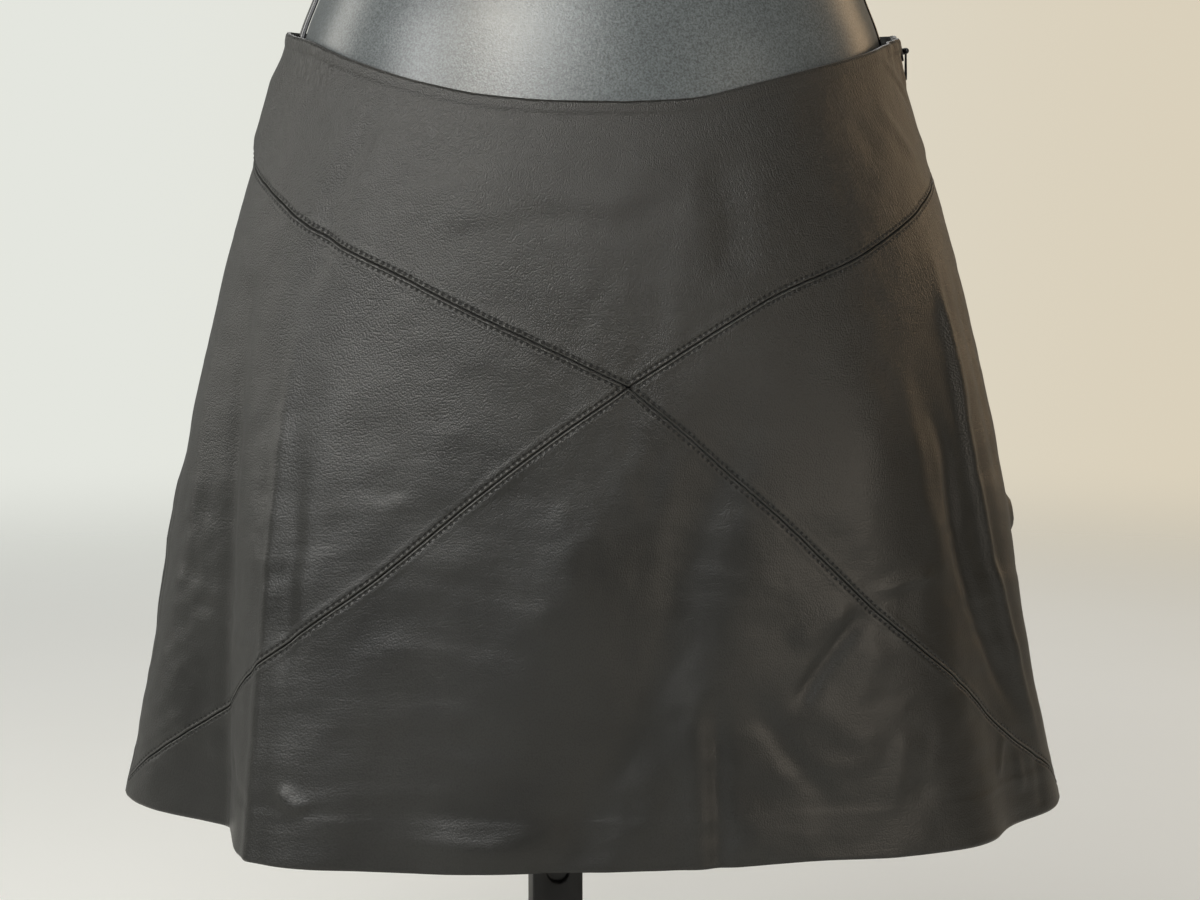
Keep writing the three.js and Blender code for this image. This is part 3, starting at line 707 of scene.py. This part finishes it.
def leather_panel(name, angles, upper, lower, rows, gaps, node, sewn, waist=False, hem=False):
    """A wall of leather on the drape between two edges. Its outside carries the sewn heights, and its
    maps are the leather laid out by angle and drop, and the places along and off each crossing seam."""
    top, low = upper(angles) + gaps[0], lower(angles) - gaps[1]
    drop = low[:, None] + (top - low)[:, None] * crowded(rows)[None, :]
    angle = np.repeat(angles[:, None], rows, 1)
    smooth = body_radius(angle, drop)
    per_degree = smooth * math.pi / 180
    trim = SIDE_GAP / 2 / per_degree
    angle[0] += trim[0]
    angle[-1] -= trim[-1]
    parting = NECK_OPENING * np.exp(-(((drop - NECK_DROP) / 3.2) ** 4))
    parted = parting * np.exp(-((beside_zip(angle, smooth) / 4) ** 2)) / per_degree
    angle = angle + np.sign(turned_from(angle, ZIP_SEAM)) * parted
    radius = drape(angle, drop)
    to_first, to_last = (angle - angles[0]) * per_degree, (angles[-1] - angle) * per_degree
    height = np.zeros_like(radius)
    if abs(angles[0]) > 1:
        height += plain_height(to_first)
    if abs(angles[-1]) > 1:
        height += plain_height(to_last)
    if waist:
        height += turned_height(drop - top[:, None], WAIST_TURN, -0.30)
    if hem:
        height += turned_height(low[:, None] - drop, HEM_TURN, 0.16)
    height += sewn(angle, drop)
    height *= 1 - under_slider(angle, smooth, drop) * (to_last > 0.9) * (to_first > 0.9)
    outer = ring_place(angle, radius + height, drop)
    inner = ring_place(angle, radius - LEATHER, drop)
    maps = [("Cloth", np.stack([np.radians(angle) * CLOTH_RADIUS, -drop], -1))]
    for title, edge in (("UpperSeam", UPPER_SEAM), ("LowerSeam", LOWER_SEAM)):
        away, along = np.full_like(drop, NO_SEAM), drop
        if sewn is sewn_height:
            away, along = seam_places(edge, angle, drop)
        maps.append((title, np.stack([along, away], -1)))
    maps = [(title, np.tile(pairs.reshape(-1, 2), (2, 1))) for title, pairs in maps]
    points, faces = close_grid(outer, inner)
    panel = make_object(name, points, faces, maps)
    inside = len(faces[-1])
    sides = np.zeros(len(panel.data.polygons), np.int32)
    sides[-inside:] = 1
    panel.data.materials.append(nappa)
    panel.data.materials.append(flesh_side)
    panel.data.polygons.foreach_set("material_index", sides)
    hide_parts(node)
    return panel


# Nappa: full-grain lamb leather, drum dyed and lightly finished. It looks warm black with a low
# wide sheen, a pebble just under a millimetre that is tightest on the yoke, and faint stretch lines.
PEBBLE, FINE_PORE, DIMPLE, DRAG_LINE, DRAG_LEAN = 0.95, 0.55, 6.0, 1.3, -24
GATHER_WIDE, GATHER_LONG = 2.6, 26
LIP_HIGHLIGHT_OFFSET, PIT_HALF = 0.85, 0.85
SMOOTH = {"interpolation_type": "SMOOTHSTEP"}
FLAT = {"noise_dimensions": "2D"}
nappa, tree, shader = start_material(
    "black nappa leather", IOR=1.5, Specular_IOR_Level=0.6, Sheen_Weight=0.06, Sheen_Roughness=0.4,
    Coat_Weight=0.08, Coat_Roughness=0.4,
)
place = add(tree, "ShaderNodeTexCoord").outputs["Object"]
cloth = add(tree, "ShaderNodeUVMap", uv_map="Cloth").outputs[0]
pebbles = add(tree, "ShaderNodeTexVoronoi", {"Vector": cloth, "Scale": 1 / (PEBBLE * MM)},
              voronoi_dimensions="2D").outputs["Distance"]
pores = add(tree, "ShaderNodeTexNoise", {"Vector": cloth, "Scale": 1 / (FINE_PORE * MM), "Detail": 1.0},
            **FLAT).outputs[0]
dimples = add(tree, "ShaderNodeTexNoise", {"Vector": cloth, "Scale": 1 / (DIMPLE * MM), "Detail": 2.0},
              **FLAT).outputs[0]
patches = add(tree, "ShaderNodeTexNoise",
              {"Vector": place, "Scale": 16.0, "Detail": 4.0, "Roughness": 0.6}).outputs[0]
stretch = add(tree, "ShaderNodeMapping", {"Vector": cloth, "Scale": (70.0, 420.0, 1.0)}).outputs[0]
lines = add(tree, "ShaderNodeTexNoise", {"Vector": stretch, "Scale": 1.0, "Detail": 2.0, "Distortion": 0.4},
            **FLAT).outputs[0]
# On the zip side of the yoke the grain is pulled into fine lines that lean toward the zip
leaning = add(tree, "ShaderNodeMapping",
              {"Vector": cloth, "Rotation": (0.0, 0.0, math.radians(DRAG_LEAN))}).outputs[0]
leaning = add(tree, "ShaderNodeMapping", {
    "Vector": leaning, "Scale": (1 / (DRAG_LINE * MM), 1 / (7 * DRAG_LINE * MM), 1.0)}).outputs[0]
drag = add(tree, "ShaderNodeTexNoise", {"Vector": leaning, "Scale": 1.0, "Detail": 1.0, "Distortion": 0.5},
           **FLAT).outputs[0]
spread = add(tree, "ShaderNodeSeparateXYZ", {0: cloth}).outputs
zip_half = add(tree, "ShaderNodeMapRange", {0: spread[0], 1: 0.01, 2: 0.08}, **SMOOTH).outputs[0]
high = add(tree, "ShaderNodeMapRange", {0: spread[1], 1: -0.17, 2: -0.10}, **SMOOTH).outputs[0]
pulled = add(tree, "ShaderNodeMath", {0: zip_half, 1: high}, operation="MULTIPLY").outputs[0]
# At the plain end of the waist the turned edge was eased in, which leaves small upright gathers
gather_scale = (1 / (GATHER_WIDE * MM), 1 / (GATHER_LONG * MM), 1.0)
gather_place = add(tree, "ShaderNodeMapping", {"Vector": cloth, "Scale": gather_scale}).outputs[0]
gather = add(tree, "ShaderNodeTexNoise", {"Vector": gather_place, "Scale": 1.0, "Detail": 0.0},
             **FLAT).outputs[0]
plain_end = add(tree, "ShaderNodeMapRange", {0: spread[0], 1: -0.24, 2: -0.19, 3: 1.0, 4: 0.0},
                **SMOOTH).outputs[0]
below = add(tree, "ShaderNodeMapRange", {0: spread[1], 1: -0.042, 2: -0.014}, **SMOOTH).outputs[0]
gathered = add(tree, "ShaderNodeMath", {0: plain_end, 1: below}, operation="MULTIPLY").outputs[0]
tight = add(tree, "ShaderNodeMapRange", {0: spread[1], 1: -0.24, 2: -0.13, 3: 0.42, 4: 1.0},
            **SMOOTH).outputs[0]


def seam_marks(title):
    """Pits at the stitches, coloured with painted shade as dark as a needle hole's shadow, and a painted
    highlight on the strip beside the join. A pit is a bell across the row times a peak at each stitch."""
    seam = add(tree, "ShaderNodeUVMap", uv_map=title).outputs[0]
    parts = add(tree, "ShaderNodeSeparateXYZ", {0: seam}).outputs
    off = add(tree, "ShaderNodeMath", {0: parts[1], 1: STITCH_OFFSET * MM}, operation="SUBTRACT").outputs[0]
    scaled = add(tree, "ShaderNodeMath", {0: off, 1: PIT_HALF * MM}, operation="DIVIDE").outputs[0]
    square = add(tree, "ShaderNodeMath", {0: scaled, 1: scaled}, operation="MULTIPLY").outputs[0]
    bell = add(tree, "ShaderNodeMapRange", {0: square, 1: 0.0, 2: 1.0, 3: 1.0, 4: 0.0},
               **SMOOTH).outputs[0]
    beat = add(tree, "ShaderNodeMath", {0: parts[0], 1: 2 * math.pi / (STITCH_PITCH * MM)},
               operation="MULTIPLY").outputs[0]
    wave = add(tree, "ShaderNodeMath", {0: beat}, operation="COSINE").outputs[0]
    hole = add(tree, "ShaderNodeMapRange", {0: wave, 1: 0.25, 2: -0.45, 3: 0.0, 4: 1.0},
               **SMOOTH).outputs[0]
    dot = add(tree, "ShaderNodeMath", {0: bell, 1: hole}, operation="MULTIPLY").outputs[0]
    # the join is coloured black: its cut edges are dyed black, and the rest of that black is painted shade in
    # the gap between the panels
    dyed_edge_and_shade = add(tree, "ShaderNodeMapRange",
              {0: parts[1], 1: 0.15 * MM, 2: 0.45 * MM, 3: 1.0, 4: 0.0}).outputs[0]
    # painted highlight: a band 0.85 mm from the join, where the rolled lip of the seam catches light
    aside = add(tree, "ShaderNodeMath", {0: parts[1], 1: LIP_HIGHLIGHT_OFFSET * MM},
                operation="SUBTRACT").outputs[0]
    aside = add(tree, "ShaderNodeMath", {0: aside}, operation="ABSOLUTE").outputs[0]
    lip_highlight_band = add(tree, "ShaderNodeMapRange", {0: aside, 1: 0.0, 2: 0.45 * MM, 3: 1.0, 4: 0.0},
                 **SMOOTH).outputs[0]
    return add(tree, "ShaderNodeMath", {0: dot, 1: dyed_edge_and_shade}, operation="MAXIMUM").outputs[0], lip_highlight_band


upper_marks, lower_marks = seam_marks("UpperSeam"), seam_marks("LowerSeam")
pits_and_painted_shade, painted_lip_highlight = [add(tree, "ShaderNodeMath", {0: one, 1: other}, operation="MAXIMUM").outputs[0]
                 for one, other in zip(upper_marks, lower_marks)]
dark, light = to_linear("#11110f"), to_linear("#1f1f1d")
mottled = add(tree, "ShaderNodeMapRange", {0: patches, 1: 0.3, 2: 0.7}).outputs[0]
tint = add(tree, "ShaderNodeMix", {0: mottled, 6: dark, 7: light}, data_type="RGBA").outputs[2]
grain_tone = add(tree, "ShaderNodeMapRange", {0: pebbles, 1: 0.1, 2: 0.7, 3: 1.25, 4: 0.6}).outputs[0]
# painted shade: the pits and the join darken the leather colour almost to black
painted_pit_shade = add(tree, "ShaderNodeMapRange", {0: pits_and_painted_shade, 3: 1.0, 4: 0.05}).outputs[0]
tone = add(tree, "ShaderNodeMath", {0: grain_tone, 1: painted_pit_shade}, operation="MULTIPLY").outputs[0]
# painted highlight: the band beside the join is made up to 3.2 times lighter in colour
painted_highlight_tone = add(tree, "ShaderNodeMapRange", {0: painted_lip_highlight, 3: 1.0, 4: 3.2}).outputs[0]
tone = add(tree, "ShaderNodeMath", {0: tone, 1: painted_highlight_tone}, operation="MULTIPLY").outputs[0]
colour = add(tree, "ShaderNodeVectorMath", {0: tint, 3: tone}, operation="SCALE").outputs[0]
gloss = add(tree, "ShaderNodeMapRange", {0: patches, 1: 0.3, 2: 0.7, 3: 0.38, 4: 0.48}).outputs[0]
dull = add(tree, "ShaderNodeMath", {0: pits_and_painted_shade, 1: 0.35}, operation="MULTIPLY").outputs[0]
gloss = add(tree, "ShaderNodeMath", {0: gloss, 1: dull}, operation="ADD").outputs[0]
sleek = add(tree, "ShaderNodeMath", {0: painted_lip_highlight, 1: -0.10}, operation="MULTIPLY").outputs[0]
gloss = add(tree, "ShaderNodeMath", {0: gloss, 1: sleek}, operation="ADD").outputs[0]
# height map, strength, depth in mm, and whether the map's high places are pressed in
reliefs = (
    (dimples, 0.3, 0.24, False),
    (lines, 0.5, 0.14, False),
    (drag, pulled, 0.22, False),
    (gather, gathered, 0.9, False),
    (pebbles, tight, 0.21, True),
    (pores, tight, 0.10, False),
    (pits_and_painted_shade, 1.0, 0.5, True),
)
under = {}
for height, strength, depth, pressed in reliefs:
    bump = {"Height": height, "Strength": strength, "Distance": depth * MM, **under}
    relief = add(tree, "ShaderNodeBump", bump, invert=pressed).outputs[0]
    under = {"Normal": relief}
link_to(tree, colour, shader, "Base Color")
link_to(tree, gloss, shader, "Roughness")
link_to(tree, relief, shader, "Normal")

# Flesh side: the same hide's split inside, brushed. It looks matt charcoal with a short nap.
flesh_side, tree, shader = start_material(
    "brushed flesh side", IOR=1.45, Specular_IOR_Level=0.2, Roughness=0.92, Sheen_Weight=0.35,
    Sheen_Roughness=0.5,
)
place = add(tree, "ShaderNodeTexCoord").outputs["Object"]
nap = add(tree, "ShaderNodeTexNoise", {"Vector": place, "Scale": 1 / (0.9 * MM), "Detail": 4.0}).outputs[0]
brushed = add(tree, "ShaderNodeTexNoise", {"Vector": place, "Scale": 30.0, "Detail": 5.0}).outputs[0]
surface(tree, shader, (brushed, "#232322", "#3a3937"), relief=(nap, 0.6, 0.15))

YOKE_ROWS, FRONT_COLUMNS = 112, 313
seam_half = SEAM_GAP / 2
front_angles = np.linspace(PLAIN_SEAM, ZIP_SEAM, FRONT_COLUMNS)
yoke = leather_panel(
    "front_yoke_leather", front_angles, lambda a: edge_drop(WAIST, a), lambda a: edge_drop(UPPER_SEAM, a),
    YOKE_ROWS, (0, seam_half), "front_yoke", sewn_height, waist=True,
)

# ---- Front side panels ----
# Two wedges of the same nappa fill the space between the crossing seams, one to each side
# seam. Their points meet at the middle of the front.

TIP_ANGLE, SIDE_PANEL_ROWS = 0.5, 190
side_panels = (
    ("front_panel_plain_side", np.linspace(PLAIN_SEAM, -TIP_ANGLE, 168), (0.280, 0.310), 0.0445),
    ("front_panel_zip_side", np.linspace(TIP_ANGLE, ZIP_SEAM, 154), (0.265, 0.310), 0.0420),
)
for node, angles, flat, area in side_panels:
    panel = leather_panel(
        node + "_leather", angles, lambda a: edge_drop(UPPER_SEAM, a), lambda a: edge_drop(LOWER_SEAM, a),
        SIDE_PANEL_ROWS, (seam_half, seam_half), node, sewn_height,
    )

# ---- Front hem panel ----
# The lower triangle of the front, cut wide so that it flares. Its hem is folded up 22 mm
# and glued, which shows as one faint line above the edge.

HEM_PANEL_ROWS = 124
hem_panel = leather_panel(
    "front_hem_panel_leather", front_angles, lambda a: edge_drop(LOWER_SEAM, a), lambda a: edge_drop(HEM, a),
    HEM_PANEL_ROWS, (seam_half, 0), "front_hem_panel", sewn_height, hem=True,
)

# ---- Back ----
# One plain piece from side seam to side seam, taken in at the waist with two stitched darts
# and turned up at the hem like the front.

BACK_COLUMNS, BACK_ROWS = 288, 148
DART_FADE = 25
# angle, length below the waist edge
DARTS = {"zip side dart": (152, 92), "plain side dart": (206, 92)}


def dart_height(angle, drop):
    """Each dart is a sunk line with a low roll on each side, and it fades out toward its point."""
    height = np.zeros_like(drop)
    for middle, length in DARTS.values():
        away = np.abs(turned_from(angle, middle)) * body_radius(angle, drop) * math.pi / 180
        fade = np.clip((length - (drop - back_drop(WAIST, angle))) / DART_FADE, 0, 1)
        height += plain_height(away) * fade
    return height


back_angles = np.linspace(ZIP_SEAM, PLAIN_SEAM + 360, BACK_COLUMNS)
back = leather_panel(
    "back_leather", back_angles, lambda a: back_drop(WAIST, a), lambda a: back_drop(HEM, a),
    BACK_ROWS, (0, 0), "back_panel", dart_height, waist=True, hem=True,
)

# ---- Stitching ----
# Black bonded polyester thread, two rows on every half of the crossing seams. Each stitch shows
# about 1.9 mm of thread, pulled down into its own dent between two needle holes.

THREAD_RADIUS, STITCH_LENGTH = 0.24, 1.9
STITCH_STEPS, THREAD_SIDES = 5, 6
THREAD_LAY = 0.5
STITCH_SUNK = np.array([-0.30, -0.08, -0.02, -0.08, -0.30])

# Bonded thread: three twisted plies under a clear bond. It looks black with a dull point of light.
thread_black, tree, shader = start_material("bonded polyester thread", IOR=1.5, Roughness=0.5)
twist_map = add(tree, "ShaderNodeUVMap", uv_map="Twist").outputs[0]
twist = add(tree, "ShaderNodeTexWave",
            {"Vector": twist_map, "Scale": 1 / (2 * THREAD_LAY * MM), "Distortion": 0.3},
            bands_direction="DIAGONAL").outputs["Fac"]
surface(tree, shader, (twist, "#050506", "#0d0d0e"), relief=(twist, 0.5, 0.05))


def tubes(paths, radius, sides):
    """Closed tubes along many short paths at once: rings square to each path, with a fan on both ends."""
    count, steps = paths.shape[:2]
    ahead = np.gradient(paths, axis=1)
    ahead /= np.linalg.norm(ahead, axis=2, keepdims=True)
    across = np.cross(ahead, (0.0, 0.0, 1.0))
    across /= np.linalg.norm(across, axis=2, keepdims=True)
    out = np.cross(across, ahead)
    turn = np.linspace(0, 2 * math.pi, sides, endpoint=False)
    spin = np.cos(turn)[:, None] * across[:, :, None] + np.sin(turn)[:, None] * out[:, :, None]
    rings = paths[:, :, None] + radius[None, :, None, None] * spin
    index = np.arange(count * steps * sides).reshape(count, steps, sides)
    beside = np.roll(index, -1, axis=2)
    wall = np.stack([index[:, :-1], beside[:, :-1], beside[:, 1:], index[:, 1:]], -1).reshape(-1, 4)
    ends = count * steps * sides + np.arange(2 * count).reshape(2, count)
    first = np.stack([np.broadcast_to(ends[0][:, None], (count, sides)), beside[:, 0], index[:, 0]], -1)
    last = np.stack([np.broadcast_to(ends[1][:, None], (count, sides)), index[:, -1], beside[:, -1]], -1)
    points = np.concatenate([rings.reshape(-1, 3), paths[:, 0], paths[:, -1]])
    return points, [wall, first.reshape(-1, 3), last.reshape(-1, 3)]


def stitch_row(edge, side, row):
    """Paths of one row: evenly along the seam, moved square to it, each rising out of its two holes."""
    half = SEAM_HALVES[edge, side]
    middles = np.arange(0.5, half["length"][-1] / STITCH_PITCH) * STITCH_PITCH
    along = middles[:, None] + np.linspace(-0.5, 0.5, STITCH_STEPS) * STITCH_LENGTH
    read = {key: np.interp(along, half["length"], half[key]) for key in half}
    off = row * STITCH_OFFSET
    away = read["away"] - read["steep"] * off / read["per_degree"]
    drop = read["drop"] + read["level"] * off
    angle = side * away
    other = UPPER_SEAM if edge == LOWER_SEAM else LOWER_SEAM
    clear = seam_places(other, angle, drop)[0].min(axis=1) > 1.4 * STITCH_OFFSET
    far_end = abs(PLAIN_SEAM if side < 0 else ZIP_SEAM)
    clear &= (away.min(axis=1) > 0.25) & (away.max(axis=1) < far_end - 0.6)
    radius = drape(angle, drop) + sewn_height(angle, drop) + STITCH_SUNK
    return ring_place(angle, radius, drop)[clear]


thread_radius = THREAD_RADIUS * np.array([0.7, 1.0, 1.0, 1.0, 0.7])
for edge, word in ((UPPER_SEAM, "upper"), (LOWER_SEAM, "lower")):
    rows = np.concatenate([stitch_row(edge, side, row) for side in (-1, 1) for row in (-1, 1)])
    points, faces = tubes(rows, thread_radius, THREAD_SIDES)
    ring_points = rows.shape[0] * STITCH_STEPS * THREAD_SIDES
    lengthwise = np.tile(np.repeat(np.linspace(0, STITCH_LENGTH, STITCH_STEPS), THREAD_SIDES), len(rows))
    around = np.tile(np.linspace(0, 1.5, THREAD_SIDES, endpoint=False), len(rows) * STITCH_STEPS)
    twist_pairs = np.zeros((len(points), 2))
    twist_pairs[:ring_points] = np.stack([lengthwise, around], -1)
    stitches = make_object(f"{word}_seam_stitches", points, faces, [("Twist", twist_pairs)], sharp=80)
    stitches.data.materials.append(thread_black)

# ---- Zip tape and coil ----
# A concealed zip sewn behind the side seam: a woven polyester tape with two interlocked coils
# of nylon wire on its inner face.

TAPE_WIDTH, TAPE_THICK, TAPE_TOP, TAPE_FOOT = 22.0, 1.0, 6.0, 236.0
TAPE_THREAD = 0.7
COIL_PITCH, COIL_WIRE, COIL_WIDE, COIL_HIGH = 1.6, 0.34, 1.9, 0.7
COIL_TOP, COIL_FOOT, COIL_SIDES, COIL_STEPS = 14.0, 232.0, 5, 9

# Woven tape: flat weave of matt polyester, drawn at 0.7 mm a thread so that it shows.
tape_cloth, tree, shader = start_material("woven polyester tape", IOR=1.5, Roughness=0.88, Sheen_Weight=0.2)
weave_map = add(tree, "ShaderNodeUVMap", uv_map="Cloth").outputs[0]
warp, weft = (
    add(tree, "ShaderNodeTexWave",
        {"Vector": weave_map, "Scale": 1 / (TAPE_THREAD * MM * 2), "Distortion": 0.2},
        bands_direction=direction).outputs["Fac"]
    for direction in ("X", "DIAGONAL")
)
weave = add(tree, "ShaderNodeMath", {0: warp, 1: weft}, operation="MULTIPLY").outputs[0]
surface(tree, shader, (weave, "#101011", "#242426"), relief=(weave, 0.6, 0.12))

tape_drop = np.linspace(TAPE_FOOT, TAPE_TOP, 116)[None, :]
tape_across = np.linspace(-0.5, 0.5, 17)[:, None] * TAPE_WIDTH
middle_radius = body_radius(ZIP_SEAM, tape_drop)
tape_angle = ZIP_SEAM + np.degrees(tape_across / middle_radius)
tape_drops = np.broadcast_to(tape_drop, tape_angle.shape)
tape_face = drape(tape_angle, tape_drops) - LEATHER - REST_GAP
tape_map = np.tile(np.stack(np.broadcast_arrays(tape_across, -tape_drops), -1).reshape(-1, 2), (2, 1))
tape = make_object(
    "zip_tape_woven",
    *close_grid(*[ring_place(tape_angle, tape_face - depth, tape_drops) for depth in (0.0, TAPE_THICK)]),
    [("Cloth", tape_map)],
)
tape.data.materials.append(tape_cloth)
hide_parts("zip_tape")

# Nylon wire: drawn monofilament, crimped into a coil. It looks black with small bright glints.
nylon, tree, shader = start_material("black nylon monofilament", IOR=1.53, Specular_IOR_Level=0.5)
place = add(tree, "ShaderNodeTexCoord").outputs["Object"]
drawn = add(tree, "ShaderNodeTexNoise", {"Vector": place, "Scale": 900.0, "Detail": 2.0}).outputs[0]
surface(tree, shader, (drawn, "#0d0d0e", "#1b1b1d"), (drawn, 0.24, 0.36))

coil_paths = []
for side in (-1, 1):
    # a turn of the coil is most of an oval, and the other side's turns lie half a pitch lower
    turns = np.arange(COIL_TOP + (side > 0) * COIL_PITCH / 2, COIL_FOOT, COIL_PITCH)[:, None]
    sweep = np.radians(np.linspace(-150, 150, COIL_STEPS))[None, :]
    across = side * (1.1 - COIL_WIDE * np.cos(sweep))
    coil_drop = turns + 0.25 * COIL_PITCH * np.sin(sweep)
    inward = COIL_WIRE + COIL_HIGH * (1 + np.sin(sweep)) + 0.05
    coil_angle = ZIP_SEAM + np.degrees(across / body_radius(ZIP_SEAM, turns))
    level = drape(coil_angle, coil_drop) - LEATHER - REST_GAP - TAPE_THICK
    coil_paths.append(ring_place(coil_angle, level - inward, coil_drop))
coil_wires = np.full(COIL_STEPS, COIL_WIRE)
coil = make_object("zip_coil", *tubes(np.concatenate(coil_paths), coil_wires, COIL_SIDES), sharp=80)
coil.data.materials.append(nylon)

# ---- Slider and pull ----
# Die-cast zinc, tumbled smooth and dipped in black enamel. The pull hangs from the slider's
# bar and is the one piece of the skirt that swings.

ZIP_EASE, ZIP_EASE_STEPS = 0.22, 3

# Enamel: a thin baked coat over bright metal. It looks black and wet, a little worn at the edges.
enamel, tree, shader = start_material("black enamel on zinc", IOR=1.52, Coat_Weight=0.6, Coat_Roughness=0.12)
place = add(tree, "ShaderNodeTexCoord").outputs["Object"]
worn = add(tree, "ShaderNodeTexNoise", {"Vector": place, "Scale": 520.0, "Detail": 5.0}).outputs[0]
edge = add(tree, "ShaderNodeNewGeometry").outputs["Pointiness"]
wear = add(tree, "ShaderNodeMapRange", {0: edge, 1: 0.56, 2: 0.68, 3: 0.0, 4: 0.5}).outputs[0]
surface(tree, shader, (wear, "#121213", "#55534f"), (worn, 0.2, 0.38))

for source, name, body in (("zip_slider", "slider", SKIRT), ("zip_pull", "pull", "pull_tab")):
    piece = eased_copy(source, name, ZIP_EASE, body, ZIP_EASE_STEPS)
    piece.data.materials.append(enamel)

# ---- Floor, light and camera ----
# A plain pale studio with a matt floor. Soft lamps stand on the left at three heights, one wide
# lamp hangs high in front, warm ones stand on the right, and the room in front stays dim.

FLOOR_HALF, FLOOR_LEVEL = 4.0, -0.0005
NEAR_TONE, FAR_TONE, LEFT_TONE, RIGHT_TONE = "#d6d7d4", "#dbdcda", "#e4e6df", "#dad0bb"
FLOOR_GLOW = 0.39


def side_tone(tree, across):
    """The studio's tone by direction: neutral on the left, warmer on the right."""
    side = add(tree, "ShaderNodeMapRange", {0: across, 1: -0.06, 2: 0.34}, **SMOOTH)
    return add(tree, "ShaderNodeMix", {0: side.outputs[0], 6: to_linear(LEFT_TONE), 7: to_linear(RIGHT_TONE)},
               data_type="RGBA").outputs[2]


floor_mesh = bpy.data.meshes.new("floor")
corner_signs = ((-1, -1), (1, -1), (1, 1), (-1, 1))
floor_corners = [(x * FLOOR_HALF, y * FLOOR_HALF, FLOOR_LEVEL) for x, y in corner_signs]
floor_mesh.from_pydata(floor_corners, [], [(0, 1, 2, 3)])
floor = bpy.data.objects.new("floor", floor_mesh)
bpy.context.scene.collection.objects.link(floor)
floor_paint, tree, shader = start_material("matt pale floor", Roughness=0.95, Specular_IOR_Level=0.1)
place = add(tree, "ShaderNodeTexCoord").outputs["Object"]
reach = add(tree, "ShaderNodeVectorMath", {0: place}, operation="LENGTH").outputs["Value"]
cloud = add(tree, "ShaderNodeTexNoise", {"Vector": place, "Scale": 2.0, "Detail": 3.0}).outputs[0]
tint = add(tree, "ShaderNodeMix", {0: cloud, 6: to_linear(NEAR_TONE), 7: to_linear(FAR_TONE)},
           data_type="RGBA")
seen = add(tree, "ShaderNodeLightPath").outputs["Is Camera Ray"]
glow = add(tree, "ShaderNodeMath", {0: seen, 1: FLOOR_GLOW}, operation="MULTIPLY").outputs[0]
solid = add(tree, "ShaderNodeMapRange", {0: reach, 1: 0.7, 2: 3.6, 3: 1.0, 4: 0.0},
            interpolation_type="SMOOTHERSTEP").outputs[0]
link_to(tree, tint.outputs[2], shader, "Base Color")
link_to(tree, tint.outputs[2], shader, "Emission Color")
link_to(tree, glow, shader, "Emission Strength")
link_to(tree, solid, shader, "Alpha")
floor.data.materials.append(floor_paint)

# What the camera sees is an even pale wall; what lights the skirt is dim in front, brighter behind
world = bpy.data.worlds.new("studio")
bpy.context.scene.world = world
world.use_nodes = True
tree = world.node_tree
tree.nodes.clear()
direction = add(tree, "ShaderNodeTexCoord").outputs["Generated"]
parts = add(tree, "ShaderNodeSeparateXYZ", {0: direction}).outputs
wall = add(tree, "ShaderNodeBackground", {"Color": side_tone(tree, parts[0]), "Strength": 1.0})
ahead = add(tree, "ShaderNodeMapRange", {0: parts[1], 1: -0.6, 2: 0.6, 3: 0.03, 4: 0.27},
            **SMOOTH)
room = add(tree, "ShaderNodeBackground", {"Color": side_tone(tree, parts[0]), "Strength": ahead.outputs[0]})
seen = add(tree, "ShaderNodeLightPath").outputs["Is Camera Ray"]
both = add(tree, "ShaderNodeMixShader", {0: seen, 1: room.outputs[0], 2: wall.outputs[0]})
add(tree, "ShaderNodeOutputWorld", {"Surface": both.outputs[0]})

# name: place, height of the point on the axis it is turned to, width, height, watts, colour
LIGHTS = {
    "left window": ((-1.5, -0.98, 1.12), 0.45, 0.6, 0.9, 11.5, "#f6f6f2"),
    "left front": ((-0.8, -1.7, 1.1), 0.45, 0.6, 0.8, 5.0, "#f4f6fa"),
    "high left": ((-0.55, -0.85, 1.10), 0.45, 0.4, 0.4, 3.6, "#fff4e2"),
    "front window": ((-0.48, -1.5, 1.46), 0.45, 0.95, 0.35, 12.5, "#f6f8f4"),
    "left side": ((-0.95, -0.5, 1.0), 0.45, 0.4, 0.5, 1.6, "#f6f6f6"),
    "left behind": ((-1.6, 0.7, 1.0), 0.45, 0.5, 1.1, 8.0, "#fbf8f0"),
    "right front": ((1.2, -1.3, 0.6), 0.45, 0.6, 0.8, 5.6, "#fff2e0"),
    "right behind": ((1.6, 0.8, 1.0), 0.45, 0.5, 1.1, 4.4, "#ffd8a8"),
    "back fill": ((0.3, 1.9, 1.4), 0.40, 1.2, 0.9, 6.0, "#ffffff"),
}
for name, (spot, aim, width, height, watts, code) in LIGHTS.items():
    lamp = bpy.data.lights.new(name, "AREA")
    lamp.shape, lamp.size, lamp.size_y = "RECTANGLE", width, height
    lamp.energy = watts
    lamp.color = to_linear(code)[:3]
    holder = bpy.data.objects.new(name, lamp)
    bpy.context.scene.collection.objects.link(holder)
    holder.location = spot
    holder.rotation_euler = (Vector((0.0, 0.0, aim)) - Vector(spot)).to_track_quat("-Z", "Y").to_euler()

CAMERA_AWAY, CAMERA_HEIGHT, CAMERA_SHIFT = 1.350, 0.482, 0.0034
CAMERA_AZIMUTH, CAMERA_PITCH = -7.0, -5.7
camera = bpy.data.cameras.new("camera")
camera.lens, camera.sensor_width = 82.8, 36.0
viewer = bpy.data.objects.new("camera", camera)
bpy.context.scene.collection.objects.link(viewer)
turn = math.radians(CAMERA_AZIMUTH)
viewer.location = (CAMERA_AWAY * math.sin(turn) + CAMERA_SHIFT, -CAMERA_AWAY * math.cos(turn), CAMERA_HEIGHT)
viewer.rotation_euler = (math.radians(90 + CAMERA_PITCH), 0, turn)
bpy.context.scene.camera = viewer
bpy.context.scene.view_settings.view_transform = "Standard"
